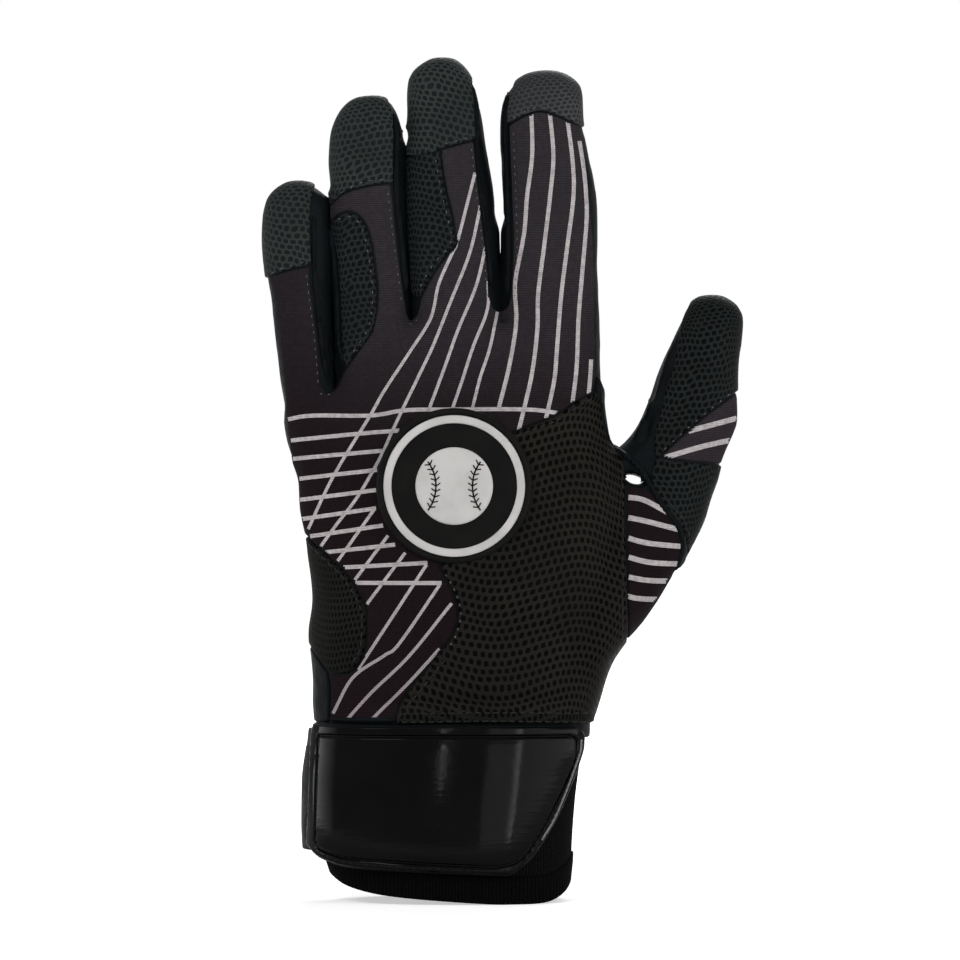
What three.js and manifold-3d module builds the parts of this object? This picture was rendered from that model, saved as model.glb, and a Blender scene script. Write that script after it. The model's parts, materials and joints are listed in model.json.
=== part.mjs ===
// Batting glove for the left hand, standing on its cuff rim with the fingers up.
// Lengths are millimetres. +Z runs up the fingers, the back of the hand faces -Y,
// the palm faces +Y and the thumb lies at +X. The origin is the centre of the
// wrist opening, level with the rim that the glove stands on.
import * as THREE from 'three';
import { mergeVertices } from 'three/addons/utils/BufferGeometryUtils.js';
import Module from 'manifold-3d';

const wasm = await Module();
wasm.setup();

// Driving dimensions
const seamGap = 0.3; // gap where two sewn pieces meet
const leather = 1.4; // wall of the hand and the fingers
const overrun = 6; // how far a cutting shape runs past what it cuts
const sidePlaneY = -1.5; // where the palm leather meets the back of the hand

const cuff = {
  height: 44, // from the rim up to the seam with the hand
  hemHeight: 8.3,
  halfWidth: 35,
  halfDepth: 20.5,
  wall: 2,
};
const palm = {
  height: 90, // from the cuff seam up to the fork beside the little finger
  halfWidth: 42,
  halfDepth: 18.6,
};
const knuckles = {
  bottom: 118, // where the three longer fingers start to rise from the palm
  height: 33,
  halfWidth: 34,
  halfDepth: 15,
};
const badge = {
  x: 1.2,
  z: 107.6,
  radius: 20,
  bevel: 1.2,
  sink: 8, // how far the disc runs into the hand before the hand cuts it
  rise: 2.4, // how far its face stands above the back of the hand
  ringRadius: 18.2,
  ringWidth: 2.1,
  relief: 0.7, // height of the ring and the motif above the face
  motifRadius: 10,
  seamRadius: 11,
  seamWidth: 0.9,
  seamDepth: 0.4,
};
const patch = {
  thickness: 0.6,
  left: 6,
  right: 27,
  bottom: 20,
  top: 40,
};
const strap = {
  height: 38.8,
  bottom: 7.6,
  halfLength: 36,
  backing: 0.8,
  panel: 1.2,
  rimWidth: 2.8,
  hingeY: -7.5,
};
const anchor = {
  thickness: 2.6,
  palmReach: 15, // how far it runs round the edge onto the palm side
  height: 30,
  belowSeam: 1, // how far its top edge lies below the cuff's seam with the hand
  inner: -22,
};
const webGap = { x: 48.4, z: 109.2, halfLength: 2.2, halfHeight: 1.3, tilt: -0.45 };

// Sections are superellipses: 2 would be a plain ellipse, more is squarer.
const handPower = 2.3;
const handSides = 32;
const fingerSides = 14;
const fingerPower = 2.3;
const discSides = 32;
const stretchSteps = 2;
const domeDegrees = [0, 30, 54, 74]; // the sections of a fingertip, up its arc
const domePower = 0.8; // below 1 the fingertip is blunter in depth than in width
const sharpestCornerShare = 0.4; // keeps an inset corner from running out into a spike

// Each row gives height, ulnar edge, thumb-side edge and half depth of a section.
const cuffSectionShares = [
  [0.0, -0.88, 0.885, 1.0],
  [0.23, -0.91, 0.895, 1.0],
  [0.6, -1.0, 0.925, 0.965],
  [1.0, -0.975, 1.02, 0.905],
];
const palmSectionShares = [
  [0.0, -0.815, 0.85, 1.0],
  [0.06, -0.85, 0.91, 1.0],
  [0.13, -0.86, 0.96, 1.0],
  [0.25, -0.885, 1.05, 0.98],
  [0.44, -0.88, 1.07, 0.94],
  [0.64, -0.945, 1.06, 0.9],
  [0.79, -1.01, 1.0, 0.84],
  [0.9, -1.045, 0.955, 0.76],
  [0.97, -1.05, 0.935, 0.66],
  [1.01, -1.02, 0.915, 0.5],
];
const knuckleSectionShares = [
  [0.0, -0.86, 1.22, 1.0],
  [0.5, -0.82, 1.15, 0.84],
  [0.9, -0.82, 1.14, 0.64],
  [1.0, -0.8, 1.12, 0.5],
];
// Each row gives height, centre, half width and half depth, from the palm to the crease.
const thumbRootShares = [
  [-1.0, -1.85, 1.1, 1.65],
  [-0.78, -1.55, 1.35, 1.6],
  [-0.55, -1.05, 1.3, 1.45],
  [-0.3, -0.55, 1.15, 1.2],
  [0.0, 0.0, 1.0, 1.0],
];

// The panels of the back, as shares of the palm's half width and height.
const gripOutlineShares = [
  [0.38, 0.846],
  [0.65, 0.9],
  [0.77, 0.94],
  [0.93, 0.968],
  [1.1, 0.97],
  [1.1, -0.1],
  [-0.37, -0.1],
  [-0.34, 0.03],
  [-0.28, 0.095],
  [-0.16, 0.165],
  [-0.055, 0.23],
  [0.02, 0.27],
  [0.05, 0.33],
  [0.025, 0.39],
  [-0.055, 0.465],
  [0.12, 0.655],
];
const ulnarGripShares = [
  [-1.3, 0.59],
  [-0.88, 0.55],
  [-0.72, 0.487],
  [-0.626, 0.443],
  [-0.52, 0.36],
  [-0.508, 0.28],
  [-0.53, 0.21],
  [-0.61, 0.165],
  [-0.745, 0.163],
  [-0.835, 0.233],
  [-1.3, 0.335],
];
const ulnarLeatherShares = [
  [-1.3, 0.335],
  [-0.835, 0.233],
  [-0.745, 0.163],
  [-0.745, -0.1],
  [-1.3, -0.1],
];
const thumbStrapShares = [
  [1.1, 0.757],
  [1.195, 0.715],
  [1.33, 0.627],
  [1.445, 0.54],
  [1.425, 0.485],
  [1.375, 0.455],
  [2.0, 0.4],
  [2.0, 1.0],
  [1.1, 1.0],
];
const webOutlineShares = [
  [1.1, 0.757],
  [1.195, 0.715],
  [1.33, 0.627],
  [1.445, 0.54],
  [1.425, 0.485],
  [1.375, 0.455],
  [2.0, 0.4],
  [2.0, -0.1],
  [1.1, -0.1],
];
// The strap's outline, as shares of its half length and height.
const strapOutlineShares = [
  [-1.4, 1.0],
  [0.0, 0.997],
  [0.89, 0.987],
  [0.945, 0.96],
  [0.96, 0.9],
  [0.94, 0.77],
  [0.787, 0.408],
  [0.61, 0.135],
  [0.54, 0.04],
  [0.47, 0.0],
  [0.35, 0.0],
  [-0.18, 0.02],
  [-0.7, 0.05],
  [-0.9, 0.09],
  [-1.4, 0.14],
];
// The cuff's outline seen from the front, with its round lower corners.
const cuffOutlineShares = [
  [-1.5, 1.5],
  [-1.5, 0.27],
  [-0.9, 0.23],
  [-0.82, 0.13],
  [-0.7, 0.04],
  [-0.55, 0.0],
  [0.7, 0.0],
  [0.8, 0.04],
  [0.87, 0.12],
  [0.93, 0.21],
  [1.5, 0.25],
  [1.5, 1.5],
];

// A finger stands on its base line at x, z and leans by lean degrees towards the thumb.
// Its profile rows give height, centre, half width and half depth of a section, and its
// border rows give the lower edge of the overlay on its tip from the ulnar side across.
const littleFinger = {
  name: 'little',
  x: -37.5,
  z: 136,
  lean: -4,
  length: 51.2,
  halfWidth: 6.9,
  halfDepth: 7.9,
  dome: 10,
  root: 16,
  middleKnuckle: 22,
  profileShares: [[0, 0, 1, 1], [0.43, 0, 1.12, 0.95], [0.8, 0, 1.2, 0.9]],
  borderShares: [[-1.5, 0.5], [1.5, 0.565]],
  insertShares: null,
};
const ringFinger = {
  name: 'ring',
  x: -18.9,
  z: 152,
  lean: -2.5,
  length: 57.2,
  halfWidth: 9,
  halfDepth: 8.2,
  dome: 11,
  root: 30,
  middleKnuckle: 26,
  profileShares: [[0, 0, 1, 1], [0.45, 0, 1.04, 0.95], [0.8, 0, 1.03, 0.9]],
  borderShares: [[-1.5, 0.51], [1.5, 0.61]],
  insertShares: [[-1.5, -0.1], [0.05, -0.1], [0.05, 0.21], [-0.08, 0.34], [-0.3, 0.42], [-1.5, 0.43]],
};
const middleFinger = {
  name: 'middle',
  x: 1.9,
  z: 156,
  lean: -4.5,
  length: 63,
  halfWidth: 10.6,
  halfDepth: 8.4,
  dome: 10,
  root: 34,
  middleKnuckle: 30,
  profileShares: [[0, 0, 1, 1], [0.47, 0, 0.93, 0.95], [0.83, 0, 0.83, 0.9]],
  borderShares: [[-1.5, 0.4], [-0.1, 0.4], [-0.24, 0.6], [1.5, 0.65]],
  insertShares: [
    [-1.5, 0.0],
    [-0.8, 0.02],
    [-0.44, 0.125],
    [0.1, 0.23],
    [0.03, 0.35],
    [-0.08, 0.6],
    [-1.5, 0.6],
  ],
};
const indexFinger = {
  name: 'index',
  x: 26.3,
  z: 156,
  lean: -2,
  length: 59.5,
  halfWidth: 12.1,
  halfDepth: 8.6,
  dome: 11,
  root: 34,
  middleKnuckle: 28,
  profileShares: [[0, 0, 1, 1], [0.45, 0, 0.94, 0.95], [0.81, 0, 0.84, 0.9]],
  borderShares: [[-1.5, 0.75], [-0.3, 0.79], [0.0, 0.815], [0.3, 0.8], [1.5, 0.73]],
  insertShares: null,
};
const fingers = [littleFinger, ringFinger, middleFinger, indexFinger];
const thumb = {
  name: 'thumb',
  x: 57.2,
  y: 3,
  z: 115.7,
  lean: 7.5,
  length: 42.2,
  halfWidth: 13.4,
  halfDepth: 8.8,
  dome: 9,
  rootHeight: 48,
  profileShares: [
    [0, 0, 1, 1],
    [0.11, 0.17, 0.93, 0.98],
    [0.28, 0.3, 0.86, 0.95],
    [0.45, 0.33, 0.78, 0.92],
    [0.66, 0.4, 0.66, 0.88],
    [0.8, 0.44, 0.56, 0.85],
  ],
  borderShares: [[-1.5, -0.1], [-0.75, -0.1], [-0.3, 0.12], [0.4, 0.27], [0.8, 0.42], [2, 0.6]],
};
const panelInset = 2.2; // how far the seams of a finger lie inside its outline

// Materials
const knit = new THREE.MeshStandardMaterial({ color: 0x2f282b, roughness: 0.9, metalness: 0 });
const smoothLeather = new THREE.MeshStandardMaterial({ color: 0x12161a, roughness: 0.55, metalness: 0 });
const dotTexture = new THREE.MeshStandardMaterial({ color: 0x1b1b19, roughness: 0.7, metalness: 0 });
const tipTexture = new THREE.MeshStandardMaterial({ color: 0x2c3133, roughness: 0.7, metalness: 0 });
const gloss = new THREE.MeshStandardMaterial({ color: 0x151614, roughness: 0.2, metalness: 0 });
const ribKnit = new THREE.MeshStandardMaterial({ color: 0x101010, roughness: 0.95, metalness: 0 });
const blackRubber = new THREE.MeshStandardMaterial({ color: 0x1b191a, roughness: 0.5, metalness: 0 });
const whiteRubber = new THREE.MeshStandardMaterial({ color: 0xbab8b6, roughness: 0.5, metalness: 0 });
const velcro = new THREE.MeshStandardMaterial({ color: 0x0d0d0d, roughness: 1, metalness: 0 });

// Solids and meshes
function toSolid(geometry) {
  const plain = geometry.clone();
  plain.deleteAttribute('normal');
  plain.deleteAttribute('uv');
  const welded = mergeVertices(plain);
  return new wasm.Manifold(new wasm.Mesh({
    numProp: 3,
    vertProperties: Float32Array.from(welded.attributes.position.array),
    triVerts: Uint32Array.from(welded.index.array),
  }));
}

// A cut can leave loose slivers beside a panel, so the largest body is kept.
function largestBody(solid) {
  const bodies = solid.decompose();
  bodies.sort((a, b) => b.volume() - a.volume());
  return bodies[0];
}

function toMesh(name, solid, material) {
  const data = largestBody(solid).getMesh();
  const geometry = new THREE.BufferGeometry();
  geometry.setAttribute('position', new THREE.BufferAttribute(Float32Array.from(data.vertProperties), 3));
  geometry.setIndex(new THREE.BufferAttribute(Uint32Array.from(data.triVerts), 1));
  geometry.computeVertexNormals();
  const mesh = new THREE.Mesh(geometry, material);
  mesh.name = name;
  return mesh;
}

function joined(solids) {
  return solids.reduce((all, solid) => all.add(solid));
}

// Sections and lofts
function section(z, left, right, halfDepth, y = 0, tilt = 0) {
  return { x: (left + right) / 2, y, z, halfWidth: (right - left) / 2, halfDepth, tilt };
}

function grown(sections, amount) {
  return sections.map((row) => ({
    ...row,
    halfWidth: row.halfWidth + amount,
    halfDepth: row.halfDepth + amount,
  }));
}

function lengthened(sections, below, above) {
  const first = sections[0];
  const last = sections[sections.length - 1];
  const before = below > 0 ? [{ ...first, z: first.z - below }] : [];
  const after = above > 0 ? [{ ...last, z: last.z + above }] : [];
  return [...before, ...sections, ...after];
}

function superPower(value, power) {
  return Math.sign(value) * Math.abs(value) ** (2 / power);
}

function loft(sections, sides, power, tipHeight = 0) {
  const positions = [];
  const index = [];
  for (const row of sections) {
    for (let i = 0; i < sides; i += 1) {
      const angle = (i / sides) * Math.PI * 2;
      const across = row.halfWidth * superPower(Math.cos(angle), power);
      const depth = row.halfDepth * superPower(Math.sin(angle), power);
      positions.push(row.x + across * Math.cos(row.tilt), row.y + depth, row.z + across * Math.sin(row.tilt));
    }
  }
  for (let k = 0; k + 1 < sections.length; k += 1) {
    for (let i = 0; i < sides; i += 1) {
      const next = (i + 1) % sides;
      const low = k * sides;
      const high = (k + 1) * sides;
      index.push(low + i, low + next, high + next);
      index.push(low + i, high + next, high + i);
    }
  }
  const first = sections[0];
  const last = sections[sections.length - 1];
  const bottom = positions.length / 3;
  positions.push(first.x, first.y, first.z);
  const top = positions.length / 3;
  positions.push(last.x, last.y, last.z + tipHeight);
  const lastStart = (sections.length - 1) * sides;
  for (let i = 0; i < sides; i += 1) {
    const next = (i + 1) % sides;
    index.push(bottom, next, i);
    index.push(top, lastStart + i, lastStart + next);
  }
  const geometry = new THREE.BufferGeometry();
  geometry.setAttribute('position', new THREE.Float32BufferAttribute(positions, 3));
  geometry.setIndex(index);
  return toSolid(geometry);
}

// An outline in the front view, given as [x, z] points, becomes a block from yLow to yHigh.
function prism(outline, yLow, yHigh) {
  const shape = new THREE.Shape(outline.map(([x, z]) => new THREE.Vector2(x, z)));
  const geometry = new THREE.ExtrudeGeometry(shape, { depth: yHigh - yLow, bevelEnabled: false });
  geometry.rotateX(Math.PI / 2);
  geometry.translate(0, yHigh, 0);
  return toSolid(geometry);
}

function boxOutline(left, right, bottom, top) {
  return [[left, bottom], [right, bottom], [right, top], [left, top]];
}

function scaledOutline(shares, width, height, x = 0, z = 0) {
  return shares.map(([across, up]) => [x + across * width, z + up * height]);
}

function signedArea(outline) {
  return outline.reduce((sum, [x, z], i) => {
    const [nextX, nextZ] = outline[(i + 1) % outline.length];
    return sum + x * nextZ - nextX * z;
  }, 0) / 2;
}

// Moves every edge of an outline inwards by the same distance.
function inset(outline, distance) {
  const turn = Math.sign(signedArea(outline));
  return outline.map(([x, z], i) => {
    const before = outline[(i + outline.length - 1) % outline.length];
    const after = outline[(i + 1) % outline.length];
    const into = new THREE.Vector2(x - before[0], z - before[1]).normalize();
    const out = new THREE.Vector2(after[0] - x, after[1] - z).normalize();
    const normalIn = new THREE.Vector2(-into.y, into.x).multiplyScalar(turn);
    const normalOut = new THREE.Vector2(-out.y, out.x).multiplyScalar(turn);
    const middle = normalIn.clone().add(normalOut).normalize();
    const reach = distance / Math.max(middle.dot(normalIn), sharpestCornerShare);
    return [x + middle.x * reach, z + middle.y * reach];
  });
}

// Fingers
function interpolate(rows, up) {
  const last = rows[rows.length - 1];
  if (up >= last[0]) {
    return last;
  }
  const k = Math.max(rows.findIndex((row) => row[0] > up), 1);
  const [low, high] = [rows[k - 1], rows[k]];
  const share = Math.max((up - low[0]) / (high[0] - low[0]), 0);
  return low.map((value, i) => value + (high[i] - value) * share);
}

function fingerSection(finger, z) {
  const [, centre, width, depth] = interpolate(finger.profileShares, z / finger.length);
  const x = centre * finger.halfWidth;
  const halfWidth = width * finger.halfWidth;
  return section(z, x - halfWidth, x + halfWidth, depth * finger.halfDepth, finger.y ?? 0);
}

function domeSections(finger) {
  const start = fingerSection(finger, finger.length - finger.dome);
  return domeDegrees.map((degrees) => {
    const angle = THREE.MathUtils.degToRad(degrees);
    return {
      ...start,
      z: start.z + finger.dome * Math.sin(angle),
      halfWidth: start.halfWidth * Math.cos(angle),
      halfDepth: start.halfDepth * Math.cos(angle) ** domePower,
    };
  });
}

function stretchSections(finger, from, to) {
  const sections = [];
  for (let k = 0; k <= stretchSteps; k += 1) {
    sections.push(fingerSection(finger, from + ((to - from) * k) / stretchSteps));
  }
  return sections;
}

function tube(sections, wall, below, above) {
  const outer = loft(sections, fingerSides, fingerPower);
  const bore = loft(lengthened(grown(sections, -wall), below, above), fingerSides, fingerPower);
  return outer.subtract(bore);
}

function closedTube(finger, from, wall) {
  const straight = stretchSections(finger, from, finger.length - finger.dome);
  const dome = domeSections(finger);
  const sections = [...straight.slice(0, -1), ...dome];
  const lastHeight = finger.length - dome[dome.length - 1].z;
  const outer = loft(sections, fingerSides, fingerPower, lastHeight);
  const shorter = { ...finger, length: finger.length - wall, dome: finger.dome - wall };
  const innerDome = domeSections(shorter).map((row, i) => ({ ...dome[i], z: row.z }));
  const innerScale = (row) => ({
    ...row,
    halfWidth: row.halfWidth * (1 - wall / dome[0].halfWidth),
    halfDepth: row.halfDepth * (1 - wall / dome[0].halfDepth),
  });
  const innerSections = [...grown(straight.slice(0, -1), -wall), ...innerDome.map(innerScale)];
  const bore = loft(lengthened(innerSections, overrun, 0), fingerSides, fingerPower, lastHeight);
  return outer.subtract(bore);
}

// The seam line of a finger seen from the front: its outline drawn in by the panel inset.
function seamOutline(finger, from, to, closed) {
  const left = [];
  const right = [];
  const steps = stretchSteps;
  const top = closed ? finger.length - finger.dome : to;
  for (let k = 0; k <= steps; k += 1) {
    const z = from + ((top - from) * k) / steps;
    const row = fingerSection(finger, z);
    left.push([row.x - row.halfWidth + panelInset, z]);
    right.unshift([row.x + row.halfWidth - panelInset, z]);
  }
  const arc = [];
  if (closed) {
    const row = fingerSection(finger, top);
    const arcSteps = 8;
    for (let k = 1; k < arcSteps; k += 1) {
      const angle = Math.PI - (Math.PI * k) / arcSteps;
      const x = row.x + (row.halfWidth - panelInset) * Math.cos(angle);
      arc.push([x, top + (finger.dome - panelInset) * Math.sin(angle)]);
    }
  }
  return [...left, ...arc, ...right];
}

function fingerFrame(finger) {
  const frame = new THREE.Group();
  frame.position.set(finger.x, 0, finger.z);
  frame.rotation.y = THREE.MathUtils.degToRad(finger.lean);
  frame.updateMatrix();
  return frame;
}

const far = palm.halfWidth * 3; // a reach that clears the whole hand

function frontHalf(solid, plane) {
  const outline = boxOutline(-far, far, -far, far * 2);
  return solid.intersect(prism(outline, -far, plane));
}

function backHalf(solid, plane) {
  const outline = boxOutline(-far, far, -far, far * 2);
  return solid.intersect(prism(outline, plane, far));
}

function leftHalf(solid, plane) {
  return solid.intersect(prism(boxOutline(-far, plane, -far, far), -far, far));
}

function rightHalf(solid, plane) {
  return solid.intersect(prism(boxOutline(plane, far, -far, far), -far, far));
}

// The first stretch, from the knuckle to the middle knuckle
function buildFirstStretch(finger) {
  const from = seamGap / 2;
  const to = finger.middleKnuckle - seamGap / 2;
  const wallTube = tube(stretchSections(finger, from, to), leather, overrun, overrun);
  const seam = seamOutline(finger, from - overrun, to + overrun, false);
  const inner = inset(seam, seamGap / 2);
  const outer = inset(seam, -seamGap / 2);
  const sides = wallTube.subtract(prism(outer, -far, far));
  const group = new THREE.Group();
  let back = wallTube.intersect(prism(inner, -far, 0));
  if (finger.insertShares) {
    const insert = scaledOutline(finger.insertShares, finger.halfWidth, finger.length);
    const insertSolid = back.intersect(prism(inset(insert, seamGap / 2), -far, 0));
    back = back.subtract(prism(inset(insert, -seamGap / 2), -far, 0));
    group.add(toMesh(`${finger.name}_insert`, insertSolid, tipTexture));
  }
  group.add(toMesh(`${finger.name}_back`, back, knit));
  group.add(toMesh(`${finger.name}_palm`, wallTube.intersect(prism(inner, 0, far)), smoothLeather));
  group.add(toMesh(`${finger.name}_side_ulnar`, leftHalf(sides, 0), smoothLeather));
  group.add(toMesh(`${finger.name}_side_radial`, rightHalf(sides, 0), smoothLeather));
  return group;
}

// The last stretch, from the middle knuckle over the fingertip
function buildLastStretch(finger) {
  const from = finger.middleKnuckle + seamGap / 2;
  const wallTube = closedTube(finger, from, leather);
  const seam = seamOutline(finger, from - overrun, finger.length, true);
  const inner = inset(seam, seamGap / 2);
  const outer = inset(seam, -seamGap / 2);
  const front = wallTube.intersect(prism(inner, -far, 0));
  const border = scaledOutline(finger.borderShares, finger.halfWidth, finger.length);
  const overlay = [...border, [far, far], [-far, far]];
  const group = new THREE.Group();
  const tipSolid = front.intersect(prism(inset(overlay, seamGap / 2), -far, 0));
  const backSolid = front.subtract(prism(inset(overlay, -seamGap / 2), -far, 0));
  group.add(toMesh(`${finger.name}_tip_overlay`, tipSolid, tipTexture));
  group.add(toMesh(`${finger.name}_tip_back`, backSolid, knit));
  group.add(toMesh(`${finger.name}_tip_palm`, wallTube.intersect(prism(inner, 0, far)), smoothLeather));
  group.add(toMesh(`${finger.name}_tip_band`, wallTube.subtract(prism(outer, -far, far)), smoothLeather));
  return group;
}

// The thumb above its crease
function buildThumb() {
  const frame = fingerFrame(thumb);
  const wallTube = closedTube(thumb, seamGap / 2, leather);
  const seam = seamOutline(thumb, seamGap / 2 - overrun, thumb.length, true);
  const inner = inset(seam, seamGap / 2);
  const outer = inset(seam, -seamGap / 2);
  const front = wallTube.intersect(prism(inner, -far, thumb.y));
  const border = scaledOutline(thumb.borderShares, thumb.halfWidth, thumb.length);
  const printArea = [[thumb.halfWidth * 2, -far], [-thumb.halfWidth * 1.5, -far], ...border];
  const printSolid = front.intersect(prism(inset(printArea, seamGap / 2), -far, thumb.y));
  const backSolid = front.subtract(prism(inset(printArea, -seamGap / 2), -far, thumb.y));
  frame.add(toMesh('thumb_print', printSolid, knit));
  frame.add(toMesh('thumb_back', backSolid, tipTexture));
  frame.add(toMesh('thumb_palm', wallTube.intersect(prism(inner, thumb.y, far)), smoothLeather));
  frame.add(toMesh('thumb_band', wallTube.subtract(prism(outer, -far, far)), smoothLeather));
  return frame;
}

// Hand
function palmSections() {
  return palmSectionShares.map(([up, left, right, depth]) => section(
    cuff.height + up * palm.height,
    left * palm.halfWidth,
    right * palm.halfWidth,
    depth * palm.halfDepth,
  ));
}

function knuckleSections() {
  return knuckleSectionShares.map(([up, left, right, depth]) => section(
    knuckles.bottom + up * knuckles.height,
    left * knuckles.halfWidth,
    right * knuckles.halfWidth,
    depth * knuckles.halfDepth,
  ));
}

function thumbRootSections() {
  return thumbRootShares.map(([up, centre, width, depth]) => {
    const half = width * thumb.halfWidth;
    const x = centre * thumb.halfWidth;
    const z = up * thumb.rootHeight;
    const sunk = 1 + up; // the root turns from the thumb's plane into the palm's
    return section(z, x - half, x + half, depth * thumb.halfDepth, thumb.y * sunk);
  });
}

function rootSections(finger) {
  const base = fingerSection(finger, 0);
  return [{ ...base, z: -finger.root }, base];
}

// The whole hand as a solid, with every wall drawn in by shrink.
function handSolid(shrink, openTop) {
  const parts = [
    loft(lengthened(grown(palmSections(), -shrink), openTop, 0), handSides, handPower),
    loft(grown(knuckleSections(), -shrink), handSides, handPower),
    loft(lengthened(grown(thumbRootSections(), -shrink), 0, openTop), fingerSides, fingerPower)
      .transform(fingerFrame(thumb).matrix.elements),
  ];
  for (const finger of fingers) {
    const rows = lengthened(grown(rootSections(finger), -shrink), 0, openTop);
    parts.push(loft(rows, fingerSides, fingerPower).transform(fingerFrame(finger).matrix.elements));
  }
  return joined(parts);
}

function webGapOutline() {
  const points = [];
  const steps = 12;
  for (let k = 0; k < steps; k += 1) {
    const angle = (Math.PI * 2 * k) / steps;
    const along = webGap.halfLength * Math.cos(angle);
    const up = webGap.halfHeight * Math.sin(angle);
    points.push([
      webGap.x + along * Math.cos(webGap.tilt) - up * Math.sin(webGap.tilt),
      webGap.z + along * Math.sin(webGap.tilt) + up * Math.cos(webGap.tilt),
    ]);
  }
  return points;
}

function panelOutline(shares) {
  return scaledOutline(shares, palm.halfWidth, palm.height, 0, cuff.height);
}

function buildHand() {
  const group = new THREE.Group();
  const bottom = prism(boxOutline(-far, far, -far, cuff.height + seamGap / 2), -far, far);
  const walls = handSolid(0, 0)
    .subtract(handSolid(leather, overrun))
    .subtract(bottom)
    .subtract(prism(webGapOutline(), -far, far));
  let front = frontHalf(walls, sidePlaneY - seamGap / 2);
  const panels = [
    ['grip_panel', gripOutlineShares, dotTexture],
    ['ulnar_grip_panel', ulnarGripShares, dotTexture],
    ['ulnar_leather', ulnarLeatherShares, smoothLeather],
    ['thumb_web_panel', webOutlineShares, knit],
    ['thumb_strap_panel', thumbStrapShares, tipTexture],
  ];
  for (const [name, shares, material] of panels) {
    const outline = panelOutline(shares);
    const solid = front.intersect(prism(inset(outline, seamGap / 2), -far, 0));
    group.add(toMesh(name, solid, material));
  }
  for (const [, shares] of panels) {
    front = front.subtract(prism(inset(panelOutline(shares), -seamGap / 2), -far, 0));
  }
  group.add(toMesh('back_print_panel', front, knit));
  group.add(toMesh('palm_leather', backHalf(walls, sidePlaneY + seamGap / 2), smoothLeather));
  return group;
}

// Badge
function backDepth(z) {
  const rows = palmSections();
  const k = Math.max(rows.findIndex((row) => row.z > z), 1);
  const share = (z - rows[k - 1].z) / (rows[k].z - rows[k - 1].z);
  return rows[k - 1].halfDepth + (rows[k].halfDepth - rows[k - 1].halfDepth) * share;
}

function lathe(points) {
  return toSolid(new THREE.LatheGeometry(points.map(([r, y]) => new THREE.Vector2(r, y)), discSides));
}

function buildBadge() {
  const group = new THREE.Group();
  const surface = -backDepth(badge.z);
  const face = surface - badge.rise;
  const seat = face - seamGap;
  const top = seat - badge.relief;
  const disc = lathe([
    [0, face],
    [badge.radius - badge.bevel, face],
    [badge.radius, face + badge.bevel],
    [badge.radius, surface + badge.sink],
    [0, surface + badge.sink],
  ]).translate([badge.x, 0, badge.z]);
  group.add(toMesh('badge_base', disc.subtract(handSolid(-seamGap, 0)), blackRubber));

  const ringInner = badge.ringRadius - badge.ringWidth;
  const ring = lathe([
    [ringInner, top],
    [badge.ringRadius, top],
    [badge.ringRadius, seat],
    [ringInner, seat],
    [ringInner, top],
  ]).translate([badge.x, 0, badge.z]);
  group.add(toMesh('badge_ring', ring, whiteRubber));

  let ball = lathe([
    [0, top],
    [badge.motifRadius, top],
    [badge.motifRadius, seat],
    [0, seat],
  ]);
  const offset = badge.seamRadius + badge.motifRadius / 2;
  const innerSeam = badge.seamRadius - badge.seamWidth / 2;
  const outerSeam = badge.seamRadius + badge.seamWidth / 2;
  for (const side of [-1, 1]) {
    const groove = lathe([
      [innerSeam, top - overrun],
      [outerSeam, top - overrun],
      [outerSeam, top + badge.seamDepth],
      [innerSeam, top + badge.seamDepth],
      [innerSeam, top - overrun],
    ]).translate([side * offset, 0, 0]);
    ball = ball.subtract(groove);
  }
  group.add(toMesh('badge_motif', ball.translate([badge.x, 0, badge.z]), whiteRubber));
  return group;
}

// Cuff
function cuffSections() {
  return cuffSectionShares.map(([up, left, right, depth]) => section(
    up * cuff.height,
    left * cuff.halfWidth,
    right * cuff.halfWidth,
    depth * cuff.halfDepth,
  ));
}

function cuffLoft(amount, below, above) {
  return loft(lengthened(grown(cuffSections(), amount), below, above), handSides, handPower);
}

function buildCuff() {
  const group = new THREE.Group();
  const outline = scaledOutline(cuffOutlineShares, cuff.halfWidth, cuff.height);
  const walls = cuffLoft(0, 0, 0)
    .subtract(cuffLoft(-cuff.wall, overrun, overrun))
    .intersect(prism(outline, -far, far));
  const seamHeight = cuff.hemHeight;
  const hemSide = prism(boxOutline(-far, far, -far, seamHeight - seamGap / 2), -far, far);
  const bodyTop = cuff.height - seamGap / 2;
  const bodySide = prism(boxOutline(-far, far, seamHeight + seamGap / 2, bodyTop), -far, far);
  group.add(toMesh('cuff_hem', walls.intersect(hemSide), ribKnit));
  group.add(toMesh('cuff', walls.intersect(bodySide), ribKnit));
  return group;
}

// Closure: each layer follows the wrist at its own height above it.
function wristLayer(inner, outer) {
  return cuffLoft(outer, 0, overrun).subtract(cuffLoft(inner, overrun, overrun * 2));
}

// The strap lies close to the wrist at its sewn end and rides on the patches at its free end.
function strapLayer(inner, outer) {
  const standOff = (seamGap + patch.thickness) * 2 + seamGap;
  const base = cuffSections().map((row) => ({
    ...row,
    x: row.x + (standOff - seamGap) / 2,
    halfWidth: row.halfWidth + (standOff + seamGap) / 2,
    halfDepth: row.halfDepth + standOff,
  }));
  const outside = loft(lengthened(grown(base, outer), 0, overrun), handSides, handPower);
  const inside = loft(lengthened(grown(base, inner), overrun, overrun * 2), handSides, handPower);
  return outside.subtract(inside);
}

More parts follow.
